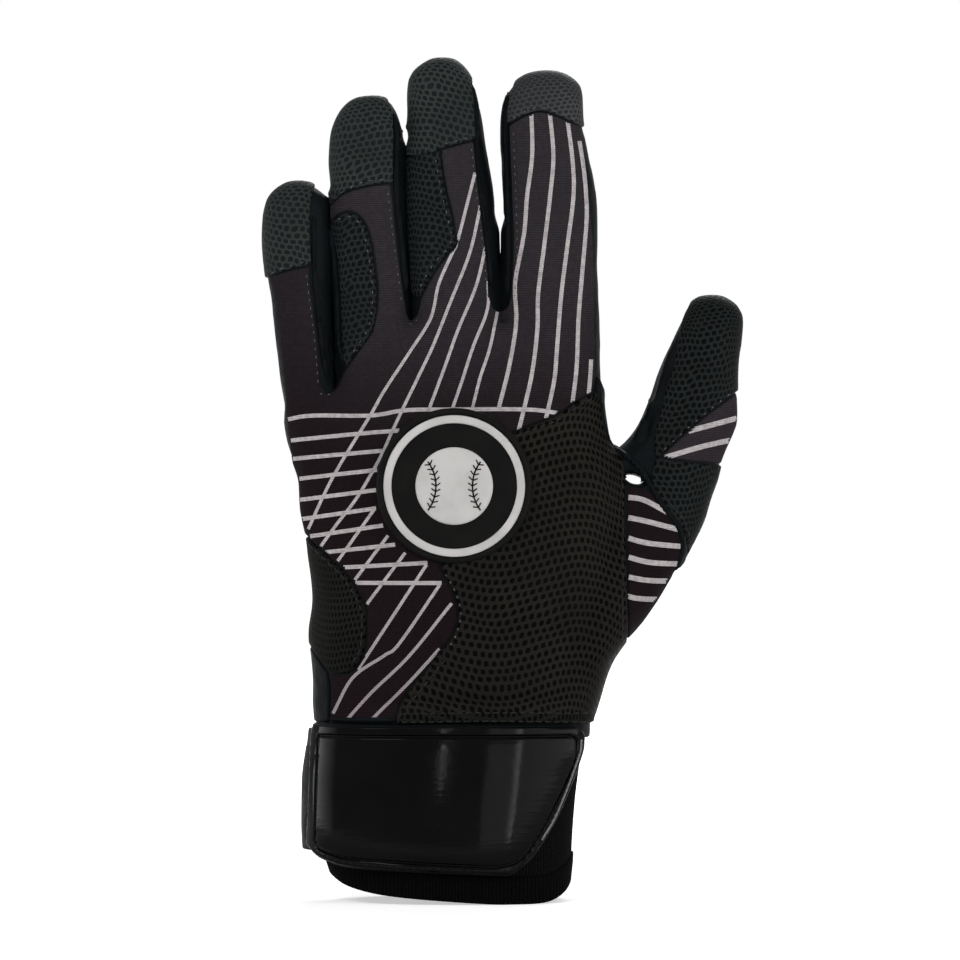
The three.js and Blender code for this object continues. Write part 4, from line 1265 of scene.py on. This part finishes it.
# Stitched lines of pixels on the back
BACK_STITCHES = [
    [(448, 655), (431, 676), (412, 699), (406, 706)],
    [(400, 711.5), (500, 710.5), (597, 712)],
    [(398, 719.5), (500, 718.5), (599, 721)],
    [(511, 439), (535, 429), (556, 421), (577, 407), (591, 399)],
    [(306, 541), (330, 563), (345, 578), (361, 605), (363, 622), (361, 648), (352, 664)],
    [(622, 470), (622, 520), (621, 645)],
    [(660, 490), (671, 506), (684, 523), (689, 542), (686, 562)],
]
SEAM_STITCHES = [
    [(444, 570), (451, 582), (457, 594), (461, 613), (456, 634), (448, 647)],
    [(307, 272), (309, 292), (314, 330), (317, 360), (319, 388)],
    [(388, 190), (390, 210), (395, 250), (402, 305)],
    [(471, 146), (477, 200), (484, 260), (487, 298)],
    [(513, 130), (516, 200), (517, 250), (516, 280), (514, 304)],
    [(318, 391), (325, 396), (332, 394)],
    [(406, 322), (412, 325), (418, 320)],
]
TIP_STITCHES = [
    [(267, 276), (290, 267), (309, 262)],
    [(337, 196), (362, 184), (390, 180)],
    [(440, 147), (458, 142), (472, 138)],
    [(509, 122), (525, 113), (540, 109), (555, 113), (578, 123)],
    [(660, 453), (676, 438), (703, 415), (733, 391)],
    [(334, 223), (344, 218), (352, 218), (360, 225), (366, 241), (371, 271), (373, 300), (368, 330),
     (350, 358)],
    [(435, 156), (441, 191), (447, 216), (451, 243), (433, 266), (419, 290)],
]
PALM_STITCHES = [
    [(660, 350), (650, 400), (640, 440), (612, 480), (590, 540), (575, 600), (560, 660), (552, 716)],
    [(716, 420), (706, 480), (690, 530), (664, 570), (636, 612), (610, 660), (592, 712)],
    [(322, 716), (450, 716), (592, 716)],
]
PALM_INSET = 9
PALM_START_ROWS = 40


def palm_stitches():
    """Seams where the palm side of each finger meets its side bands, and those of the palm."""
    lines = []
    for name in FINGERS:
        (_, top), rows = DIGIT_ROWS[name]
        rows = [entry for entry in rows if entry[0] > top + PALM_START_ROWS]
        lines.append([(left + PALM_INSET, row) for row, left, _ in rows])
        lines.append([(right - PALM_INSET, row) for row, _, right in rows])
    return lines + PALM_STITCHES


def sew(name, tree, lines, material, slot, zone=None, **sizes):
    """Rows of stitches, as one piece for each zone."""
    threads = merged([part for line in lines for part in stitch_line(tree, line, **sizes)])
    if zone:
        add_piece(name, threads, material, zone)
    else:
        add_pieces(name, threads, material, {})


def build_palm_patches(skin):
    """The two leather patches of the palm, each with a seam inside its edge."""
    for name, runs in PALM_PATCHES.items():
        values = field(skin, [outline(*runs)], facing=1) + SEAM_GROOVE
        patch = panel(skin, values, PATCH_THICKNESS, 0.2 * MM)
        add_pieces(name, patch, "palm_patch", {})
        middle = np.vstack(runs).mean(0)
        lines = [[tuple(middle + (np.array(point) - middle) * PATCH_SEAM) for point in run] for run in runs]
        sew(name + "_stitches", merged([skin, patch]).tree(), lines, "palm_thread", "leather", facing=1)


def build_hand(skin):
    """The skin, every panel that is sewn on it, and the stripes, bindings and stitches on those."""
    nodes = finger_nodes(("palm", "side_ulnar", "side_radial"), ("tip_palm", "tip_band"))
    nodes["hand"] = ["palm_leather"]
    nodes["thumb"] = ["thumb_palm", "thumb_band"]
    add_pieces("leather_skin", skin, "leather", nodes)
    printed = []
    for name, borders, material, side_limit, nodes in print_panels():
        values = field(skin, borders, side_limit=side_limit) + SEAM_GROOVE
        printed.append(panel(skin, values, PRINT_THICKNESS, 0.3 * MM))
        add_pieces(name, printed[-1], material, nodes)
    add_pieces("stripes", stripes(merged(printed)), "stripe", {})
    layers = [skin] + printed
    for name, border, material, slot, thickness, side_limit, zone in sewn_panels():
        values = field(skin, [border], side_limit=side_limit) + SEAM_GROOVE
        layers.append(panel(skin, values, thickness, 0.25 * MM))
        add_pieces(name, layers[-1], material, {zone: [name]})
    limit = np.interp(skin.points[:, 0], BINDING_LIMIT_X, BINDING_LIMIT_Y)
    for name, lines, width, thickness, material in BINDINGS:
        values = field(skin, [band_outline(line, width) for line in lines], side_limit=limit)
        layers.append(panel(skin, values, thickness, 0.3 * MM, puff_reach=0.8 * MM, edge=0.9 * MM))
        add_pieces(name, layers[-1], material, {})
    tree = merged(layers).tree()
    sew("back_stitches", tree, BACK_STITCHES, "grey_thread", "leather")
    sew("tip_stitches", tree, TIP_STITCHES, "pale_thread", "tip_texture", pitch=2.7 * MM, length=0.7 * MM,
        radius=0.11 * MM)
    sew("seam_stitches", tree, SEAM_STITCHES, "pale_thread", "leather", pitch=2.1 * MM, length=0.6 * MM,
        radius=0.11 * MM)
    sew("palm_stitches", tree, palm_stitches(), "palm_thread", "leather", facing=1)
    build_palm_patches(skin)


def merged(surfaces):
    """Several surfaces as one."""
    starts = np.cumsum([0] + [len(surface.points) for surface in surfaces])
    triangles = [surface.triangles + start for surface, start in zip(surfaces, starts)]
    return Surface(np.vstack([surface.points for surface in surfaces]), np.vstack(triangles))


# Wrist: outlines of the cuff and of the strap's layer, with half depths in millimetres.
CUFF_TOP = 726
CUFF_ROWS = [
    (CUFF_TOP, 319, 585, 18.1), (760, 313, 580, 18.9), (800, 314, 575, 19.5), (840, 322, 572, 20.2),
    (860, 328, 571, 20.5), (880, 334, 569, 20.7), (905, 338, 568, 20.7),
]
CUFF_RIM = [(326, 852), (330, 864), (338, 875), (350, 883), (372, 889), (401, 893), (450, 897), (500, 900),
            (530, 900), (548, 898), (560, 892), (567, 884), (571, 872)]
CUFF_WALL = 1.7 * MM
CUFF_SIDES = 180
HEM_ROWS = 28
STRAP_TOP_ROW = 712
STRAP_ROWS = [
    (STRAP_TOP_ROW, 311, 591, 20.2), (740, 308, 592, 20.8), (780, 303, 590, 21.7), (820, 302.5, 587, 22.4),
    (850, 304, 584, 22.8), (880, 309, 582, 23),
]
STRAP_OUTLINE = ([(316, 721), (365, 723), (450, 722), (573, 724)], [(573, 724), (581, 729), (583, 737)],
                 [(583, 737), (580, 756), (559, 810), (534, 851), (515, 868)],
                 [(515, 868), (508, 871), (498, 871)],
                 [(498, 871), (425, 868), (353, 864), (328, 858)], [(328, 858), (318, 853), (309, 843)],
                 [(309, 843), (311, 790), (313, 740), (316, 721)])
STRAP_INSET = ([(322, 734), (450, 734), (566, 734)], [(566, 734), (573, 737), (573, 746)],
               [(573, 746), (570, 764), (544, 819), (528, 846)],
               [(528, 846), (518, 856), (503, 861), (490, 862)],
               [(490, 862), (410, 858), (352, 854), (330, 849)], [(330, 849), (322, 845), (319, 838)],
               [(319, 838), (320, 790), (322, 734)])
STRAP_STITCHES = [
    [(324, 852), (352, 858.5), (410, 862.5), (490, 866), (505, 865), (520, 858), (533, 846)],
    [(533, 846), (548, 820), (565, 785), (574, 760)],
]
STRAP_CUT_EDGE = [(580.5, 738), (577.5, 756), (556.5, 809), (541, 836)]
FASTENER = [(473, 746), (554, 823)]
HEM_RADIUS = 28 * MM
ANCHOR_ARC = (-66 * MM, -38.5 * MM)
ANCHOR_TOP = 728
ANCHOR_BOTTOM = 848
ANCHOR_STITCHES = [[(319, 733), (319, 843)], [(303, 735), (317, 735)], [(303, 841), (317, 841)]]
FOLD_HEIGHT = 27 * MM
FOLD_REACH = 5 * MM


def wrist_surface(rows, top, rim=None, grow=0.0, sides=CUFF_SIDES, steps=40):
    """A tube round the wrist; its plan is the arc from the front centre and the height."""
    across, along = superellipse(sides)
    table = np.array(rows, float)
    columns = (table[-2, 1] + table[-2, 2]) / 2 + (table[-2, 2] - table[-2, 1]) * across / 2
    lows = np.full(sides, table[-1, 0])
    if rim is not None:
        line = spline(rim, 3)
        lows = np.interp(columns, line[:, 0], line[:, 1])
    points = np.zeros((steps + 1, sides, 3))
    for i, low in enumerate(lows):
        at = low + (top - low) * np.arange(steps + 1) / steps
        left, right, depth = monotone(table[:, 0], table[:, 1:], at).T
        half = (right - left) / 2 * PIXEL + grow
        points[:, i, 0] = x_of((left + right) / 2) + half * across[i]
        points[:, i, 1] = (depth * MM + grow) * along[i]
        points[:, i, 2] = z_of(at)
    triangles = []
    for a, b, c, d in quads(steps + 1, sides):
        triangles += [(a, b, c), (a, c, d)]
    ring = points[steps // 2]
    gaps = np.linalg.norm(np.roll(ring, -1, 0) - ring, axis=1)
    arc = np.concatenate([[0], np.cumsum(gaps)[:-1]])
    arc = arc - arc[3 * sides // 4]
    total = gaps.sum()
    arc = (arc + total / 2) % total - total / 2
    surface = Surface(points.reshape(-1, 3), np.array(triangles))
    surface.plan = np.stack([np.tile(arc, steps + 1), surface.points[:, 2]], 1)
    return surface


def boundary_edges(triangles):
    """Directed edges that only one triangle uses."""
    edges = np.vstack([triangles[:, [0, 1]], triangles[:, [1, 2]], triangles[:, [2, 0]]])
    keys = np.sort(edges, 1)
    _, index, counts = np.unique(keys, axis=0, return_inverse=True, return_counts=True)
    return edges[counts[index.reshape(-1)] == 1]


def slab(surface, values, thickness, depth):
    """A closed sheet: a raised panel with its underside and its edge."""
    top = panel(surface, values, thickness, sink=0.0)
    count = len(top.points)
    under = top.base - vertex_normals(top.base, top.triangles) * depth
    edges = boundary_edges(top.triangles)
    walls = [np.stack([edges[:, 1], edges[:, 0], edges[:, 0] + count], 1),
             np.stack([edges[:, 1], edges[:, 0] + count, edges[:, 1] + count], 1)]
    triangles = np.vstack([top.triangles, top.triangles[:, ::-1] + count] + walls)
    closed = Surface(np.vstack([top.points, under]), triangles)
    closed.base = np.vstack([top.base, under])
    return closed


def outline_box(low, high):
    return np.array([(low[0], low[1]), (high[0], low[1]), (high[0], high[1]), (low[0], high[1])])


def fastener_patch(surface, thickness, depth):
    """One half of the hook-and-loop closure, on the front of a surface."""
    away = distance_to(surface.points[:, [0, 2]], outline_box(*flat(FASTENER)))[0]
    return slab(surface, np.where(surface.normals[:, 1] < 0, away, OFF), thickness, depth)


def build_hem(outer):
    """The ribbed hem along the rim of the cuff."""
    rim = spline(CUFF_RIM, 3)
    above = np.interp(outer.points[:CUFF_SIDES, 0], x_of(rim[:, 0]), rim[:, 1] - HEM_ROWS)
    values = (np.tile(above, len(outer.points) // CUFF_SIDES) - row_of(outer.points)) * PIXEL
    hem = slab(outer, values, 0.55 * MM, 0.3 * MM)
    turned = np.arctan2(hem.base[:, 0], -hem.base[:, 1]) * HEM_RADIUS
    hem.base = np.stack([turned, hem.base[:, 1], hem.base[:, 2]], 1)
    add_piece("cuff_hem", hem, "hem", "hand", ("cuff_hem",))


def build_cuff():
    """Knit tube with its wall, its hem and the loop patch that the strap closes on."""
    outer = wrist_surface(CUFF_ROWS, CUFF_TOP, CUFF_RIM)
    inner = wrist_surface(CUFF_ROWS, CUFF_TOP, CUFF_RIM, -CUFF_WALL)
    count = len(outer.points)
    ring = np.arange(CUFF_SIDES)
    following = (ring + 1) % CUFF_SIDES
    rim = [np.stack([following, ring, ring + count], 1),
           np.stack([following, ring + count, following + count], 1)]
    ring, following = ring + count - CUFF_SIDES, following + count - CUFF_SIDES
    brim = [np.stack([ring, following, following + count], 1),
            np.stack([ring, following + count, ring + count], 1)]
    tube = Surface(np.vstack([outer.points, inner.points]),
                   np.vstack([outer.triangles, inner.triangles[:, ::-1] + count] + rim + brim))
    plan = np.vstack([outer.plan, inner.plan])
    tube.base = np.stack([plan[:, 0], np.zeros(len(plan)), plan[:, 1]], 1)
    add_piece("cuff", tube, "rib", "hand", ("cuff",))
    build_hem(outer)
    loop = fastener_patch(wrist_surface(CUFF_ROWS, CUFF_TOP), 0.7 * MM, 0.1 * MM)
    add_piece("loop_patch", loop, "pile", "hand", ("loop_patch",))


def build_anchor():
    """The sewn tab at the little finger's side that carries the strap."""
    band = wrist_surface(STRAP_ROWS, STRAP_TOP_ROW)
    border = outline_box((ANCHOR_ARC[0], z_of(ANCHOR_BOTTOM)), (ANCHOR_ARC[1], z_of(ANCHOR_TOP)))
    anchor = slab(band, distance_to(band.plan, border)[0], 0.2 * MM, 1.9 * MM)
    add_piece("strap_anchor", anchor, "leather", "hand", ("strap_anchor",))
    sew("anchor_stitches", anchor.tree(), ANCHOR_STITCHES, "palm_thread", "leather", "hand", facing=1)


def build_strap_fold(band):
    """The leather that joins the anchor to the strap at the strap's hinge; it stays in place."""
    hinge = joint_of("strap")[1]
    run = hinge[1] - band.points[:, 1]
    level = np.maximum(np.abs(band.plan[:, 1] - hinge[2]) - FOLD_HEIGHT / 2, np.abs(run) - FOLD_REACH)
    fold = slab(band, np.where(band.points[:, 0] < 0, level, OFF), 0.45 * MM, 0.5 * MM)
    obj = add_piece("strap_fold", fold, "leather", None)
    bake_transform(obj)


def build_strap():
    """The closing strap: a leather backing, a glossy rim, a glossy inner panel and its hook patch."""
    band = wrist_surface(STRAP_ROWS, STRAP_TOP_ROW, sides=240, steps=60)
    build_strap_fold(band)
    front = band.normals[:, 1] < 0
    whole, inner = (np.where(front, field(band, [outline(*runs)]), OFF)
                    for runs in (STRAP_OUTLINE, STRAP_INSET))
    backing = slab(band, whole, 0.5 * MM, 0.7 * MM)
    add_piece("strap_backing", backing, "leather", "strap", ("strap_backing",))
    rim = panel(band, np.maximum(whole + 0.35 * MM, 0.15 * MM - inner), 1.0 * MM, 0.1 * MM, sink=-0.3 * MM)
    add_piece("strap_rim", rim, "gloss", "strap", ("strap_rim",))
    face = panel(band, inner + 0.15 * MM, 1.25 * MM, 0.25 * MM, sink=-0.3 * MM)
    add_piece("strap_panel", face, "gloss", "strap", ("strap_panel",))
    hook = fastener_patch(band, -0.6 * MM, 1.3 * MM)
    add_piece("hook_patch", hook, "pile", "strap", ("hook_patch",))
    tree = merged([rim, face]).tree()
    sew("strap_stitches", tree, STRAP_STITCHES, "black_thread", "strap_gloss", "strap", pitch=2.0 * MM)
    hits = [cast(tree, x, z) for x, z in spline(flat(STRAP_CUT_EDGE))]
    edge = [np.array(hit + normal * 0.1 * MM) for hit, normal in hits if hit is not None]
    add_piece("strap_cut_edge", tube_along(edge, 0.28 * MM, 8), "cut_edge", "strap")


# Badge: radii and heights over its field in millimetres
BADGE_CENTRE = (454.5, 486)
BADGE_FACE = -18.5
BADGE_SIDES = 128
BADGE_PROFILE = [(0, 0), (15.9, 0), (16.1, -0.15), (18.3, -0.15), (18.5, 0.3), (18.8, 0.55), (19.2, 0.6),
                 (19.6, 0.5), (19.9, 0.2), (20, -0.3), (20.1, -2), (20, -6.5), (0, -6.5)]
RING_PROFILE = [(16.15, -0.1), (16.2, 0.35), (16.4, 0.5), (17.2, 0.55), (18.0, 0.5), (18.2, 0.35),
                (18.25, -0.1)]
BALL_PROFILE = [(0, 0.75), (5, 0.72), (8.5, 0.6), (9.6, 0.45), (9.9, 0.25), (10, -0.05)]
BALL_SEAM_RADIUS = 10.5
BALL_SEAM_OFFSET = 15.2
BALL_SEAM_EDGE = 9.2
BALL_STITCHES = 9
BALL_STITCH_SPAN = 0.86
BALL_STITCH_REACH = 1.15
BALL_STITCH_TILT = 0.07


def lathe(profile):
    """A round form about the badge's axis from radii and heights over its field."""
    (x, z), = flat([BADGE_CENTRE])
    points = []
    for radius, height in profile:
        for k in range(BADGE_SIDES):
            angle = TURN * k / BADGE_SIDES
            points.append((x + radius * MM * math.cos(angle), (BADGE_FACE - height) * MM,
                           z + radius * MM * math.sin(angle)))
    triangles = []
    for a, b, c, d in quads(len(profile), BADGE_SIDES):
        triangles += [(a, c, b), (a, d, c)]
    triangles = np.array(triangles)
    for k, (radius, _) in enumerate(profile):
        if radius == 0:
            triangles[triangles // BADGE_SIDES == k] = k * BADGE_SIDES
    return Surface(np.array(points), triangles)


def tube_along(path, radius, sides=6):
    """A round tube along a line of points, with closed ends."""
    path = np.asarray(path, float)
    tangent = np.gradient(path, axis=0)
    tangent /= np.linalg.norm(tangent, axis=1, keepdims=True)
    side = np.cross(tangent, (0, 1, 0))
    side /= np.maximum(np.linalg.norm(side, axis=1, keepdims=True), 1e-9)
    other = np.cross(side, tangent)
    points = []
    for p, s, o in zip(path, side, other):
        for k in range(sides):
            angle = TURN * k / sides
            points.append(p + (s * math.cos(angle) + o * math.sin(angle)) * radius)
    triangles = []
    for a, b, c, d in quads(len(path), sides):
        triangles += [(a, c, b), (a, d, c)]
    last = (len(path) - 1) * sides
    for i in range(1, sides - 1):
        triangles += [(0, i, i + 1), (last, last + i + 1, last + i)]
    return Surface(np.array(points), np.array(triangles))


def on_ball(side, angle, out=0.0):
    """A place on one of the ball's two seams, or some way out from it."""
    (x, z), = flat([BADGE_CENTRE])
    u = side * BALL_SEAM_OFFSET - side * (BALL_SEAM_RADIUS + out) * math.cos(angle)
    v = (BALL_SEAM_RADIUS + out) * math.sin(angle)
    height = np.interp(math.hypot(u, v), *np.array(BALL_PROFILE).T) + 0.05
    return np.array([x + u * MM, (BADGE_FACE - height) * MM, z + v * MM])


def ball_seams():
    """Two curved seams, each with its stitches to both sides."""
    reach = math.acos((BALL_SEAM_OFFSET ** 2 + BALL_SEAM_RADIUS ** 2 - BALL_SEAM_EDGE ** 2)
                      / (2 * BALL_SEAM_OFFSET * BALL_SEAM_RADIUS))
    parts = []
    for side in (-1, 1):
        parts.append(tube_along([on_ball(side, angle) for angle in np.linspace(-reach, reach, 40)], 0.2 * MM))
        for k in range(BALL_STITCHES):
            middle = reach * BALL_STITCH_SPAN * (2 * k / (BALL_STITCHES - 1) - 1)
            for out in (-BALL_STITCH_REACH, BALL_STITCH_REACH):
                line = [on_ball(side, middle + BALL_STITCH_TILT * share, out * share)
                        for share in (0.0, 0.5, 1.0)]
                parts.append(tube_along(line, 0.16 * MM))
    return merged(parts)


def build_badge():
    """Round rubber badge with a white ring and a plain white ball with two stitched seams."""
    add_piece("badge_base", lathe(BADGE_PROFILE), "badge_black", "hand", ("badge_base",))
    add_piece("badge_ring", lathe(RING_PROFILE), "badge_white", "hand", ("badge_ring",))
    add_piece("badge_ball", lathe(BALL_PROFILE), "badge_white", "hand", ("badge_motif",))
    add_piece("badge_ball_seams", ball_seams(), "badge_black", "hand")


# Stitches: lines of pixels, sewn through the panel that lies under them.
STITCH_LENGTH = 1.5 * MM
STITCH_PITCH = 2.3 * MM
STITCH_RADIUS = 0.2 * MM
STITCH_POINTS = 5
STITCH_SPREAD = 2 * MM


def stitch_line(tree, line, pitch=STITCH_PITCH, length=STITCH_LENGTH, radius=STITCH_RADIUS, facing=-1):
    """Small sunk threads along a line, laid on the surface of the tree."""
    path = spline(flat(line), 0.25 * MM)
    run = np.concatenate([[0], np.cumsum(np.linalg.norm(np.diff(path, axis=0), axis=1))])
    parts = []
    start = pitch / 2
    while start + length < run[-1]:
        samples = []
        for share in np.linspace(0, 1, STITCH_POINTS):
            x, z = (np.interp(start + share * length, run, path[:, k]) for k in range(2))
            hit, normal = cast(tree, x, z, facing)
            if hit is None:
                break
            lift = radius * (1.7 * math.sin(math.pi * share) - 0.9)
            samples.append(np.array(hit + normal * lift))
        if len(samples) == STITCH_POINTS and np.ptp([s[1] for s in samples]) < STITCH_SPREAD:
            parts.append(tube_along(samples, radius))
        start += pitch
    return parts


# Scene. Lamps: place, height aimed at, size, power, and a fade as two shares of the lamp's
# width with its strength at each of them.
LAMPS = {
    "key": ((-0.75, -1.2, 1.1), 0.1, (0.7, 0.7), 13, None),
    "fill": ((1.1, -1.1, 0.95), 0.1, (0.5, 0.6), 4, None),
    "left_side": ((-1.34, -0.16, 0.2), 0.06, (0.85, 0.5), 13, (0.0, 1.0, 1.0, 0.0)),
    "right_side": ((1.212, -0.7, 0.2), 0.06, (1.62, 0.5), 7.5, (0.0, 1.0, 0.65, 1.5)),
    "front_right": ((0.7, -1.85, 0.2), 0.06, (0.6, 0.5), 8, (0.75, 1.0, 0.25, 1.7)),
    "thin_strip": ((-0.05, -2.0, 0.375), 0.04, (0.012, 0.25), 0.4, None),
    "back": ((0.3, 1.2, 1.1), 0.1, (0.9, 0.6), 15, None),
}
WORLD_STRENGTH = 0.23
FLOOR_REACH = 12


def make_camera():
    """The photograph's view: straight at the back of the hand."""
    lens = 250
    data = bpy.data.cameras.new("camera")
    data.lens = lens
    data.sensor_width = 36
    camera = bpy.data.objects.new("camera", data)
    bpy.context.scene.collection.objects.link(camera)
    (x, z), = flat([(FRAME_PIXELS / 2, FRAME_PIXELS / 2)])
    distance = FRAME_PIXELS * PIXEL * lens / data.sensor_width
    camera.location = (x, -distance, z)
    camera.rotation_euler = (math.pi / 2, 0, 0)
    bpy.context.scene.camera = camera


def make_lamp(name, location, target_height, size, power, fade):
    """A rectangular lamp, fading across its width where that is wanted."""
    data = bpy.data.lights.new(name, "AREA")
    data.shape = "RECTANGLE"
    data.size = size[0]
    data.size_y = size[1]
    data.energy = power
    lamp = bpy.data.objects.new(name, data)
    bpy.context.scene.collection.objects.link(lamp)
    lamp.location = location
    aim = Vector((0, 0, target_height)) - Vector(location)
    lamp.rotation_euler = aim.to_track_quat("-Z", "Y").to_euler()
    if fade:
        data.use_nodes = True
        nodes = data.node_tree.nodes
        place_on_lamp = nodes.new("ShaderNodeNewGeometry").outputs["Parametric"]
        split = nodes.new("ShaderNodeSeparateXYZ")
        ramp = nodes.new("ShaderNodeMapRange")
        for socket, number in zip(ramp.inputs[1:5], fade):
            socket.default_value = number
        data.node_tree.links.new(place_on_lamp, split.inputs[0])
        data.node_tree.links.new(split.outputs[0], ramp.inputs[0])
        data.node_tree.links.new(ramp.outputs[0], nodes["Emission"].inputs["Strength"])


def camera_share(tree):
    """One for rays from the camera, or that the camera sees by reflection or through glass."""
    path = tree.nodes.new("ShaderNodeLightPath")
    total = path.outputs["Is Camera Ray"]
    for kind in ("Is Glossy Ray", "Is Transmission Ray"):
        add = tree.nodes.new("ShaderNodeMath")
        add.operation = "MAXIMUM"
        tree.links.new(total, add.inputs[0])
        tree.links.new(path.outputs[kind], add.inputs[1])
        total = add.outputs[0]
    return total


def make_world():
    """Soft even light, in front of a background that shows white."""
    world = bpy.data.worlds.new("studio")
    bpy.context.scene.world = world
    world.use_nodes = True
    tree = world.node_tree
    tree.nodes.clear()
    output = tree.nodes.new("ShaderNodeOutputWorld")
    light = tree.nodes.new("ShaderNodeBackground")
    light.inputs["Strength"].default_value = WORLD_STRENGTH
    light.inputs["Color"].default_value = (1, 1, 1, 1)
    shown = tree.nodes.new("ShaderNodeBackground")
    shown.inputs["Color"].default_value = (1, 1, 1, 1)
    shown.inputs["Strength"].default_value = 1
    mix = tree.nodes.new("ShaderNodeMixShader")
    tree.links.new(camera_share(tree), mix.inputs[0])
    tree.links.new(light.outputs[0], mix.inputs[1])
    tree.links.new(shown.outputs[0], mix.inputs[2])
    tree.links.new(mix.outputs[0], output.inputs[0])


def make_floor():
    """A pale floor that reads as white where the object doesn't shade it."""
    corners = [(x * FLOOR_REACH, y * FLOOR_REACH, 0) for x, y in ((-1, -1), (1, -1), (1, 1), (-1, 1))]
    floor = new_mesh_object("floor", corners, [(0, 1, 2, 3)])
    add_attributes(floor.data, corners)
    g = Graph("floor_white", 0.9, Specular_IOR_Level=0)
    x, y, _ = g.split(g.rest())
    away = g.math("SQRT", g.math("ADD", g.math("MULTIPLY", x, x), g.math("MULTIPLY", y, y)))
    level = g.math("MULTIPLY", camera_share(g.tree), g.step(away, 0.1, 0.45, 0.5, 1.0))
    glow = g.tree.nodes.new("ShaderNodeEmission")
    g.plug(glow.inputs["Strength"], level)
    add = g.tree.nodes.new("ShaderNodeAddShader")
    g.plug(add.inputs[0], g.shader.outputs[0])
    g.plug(add.inputs[1], glow.outputs[0])
    g.plug(g.tree.nodes["Material Output"].inputs["Surface"], add.outputs[0])
    floor.data.materials.append(g.material)


def build_stage():
    make_camera()
    make_world()
    for name, settings in LAMPS.items():
        make_lamp(name, *settings)
    make_floor()
    bpy.context.scene.view_settings.view_transform = "Standard"


build_stage()
build_hand(build_skin())
build_cuff()
build_anchor()
build_strap()
build_badge()

for node in frame["nodes"].values():
    add_attributes(node.data, np.array([v.co for v in node.data.vertices]))
    if not node.material_slots:
        node.data.materials.append(None)
    for material_slot in node.material_slots:
        material_slot.material = materials["leather"]
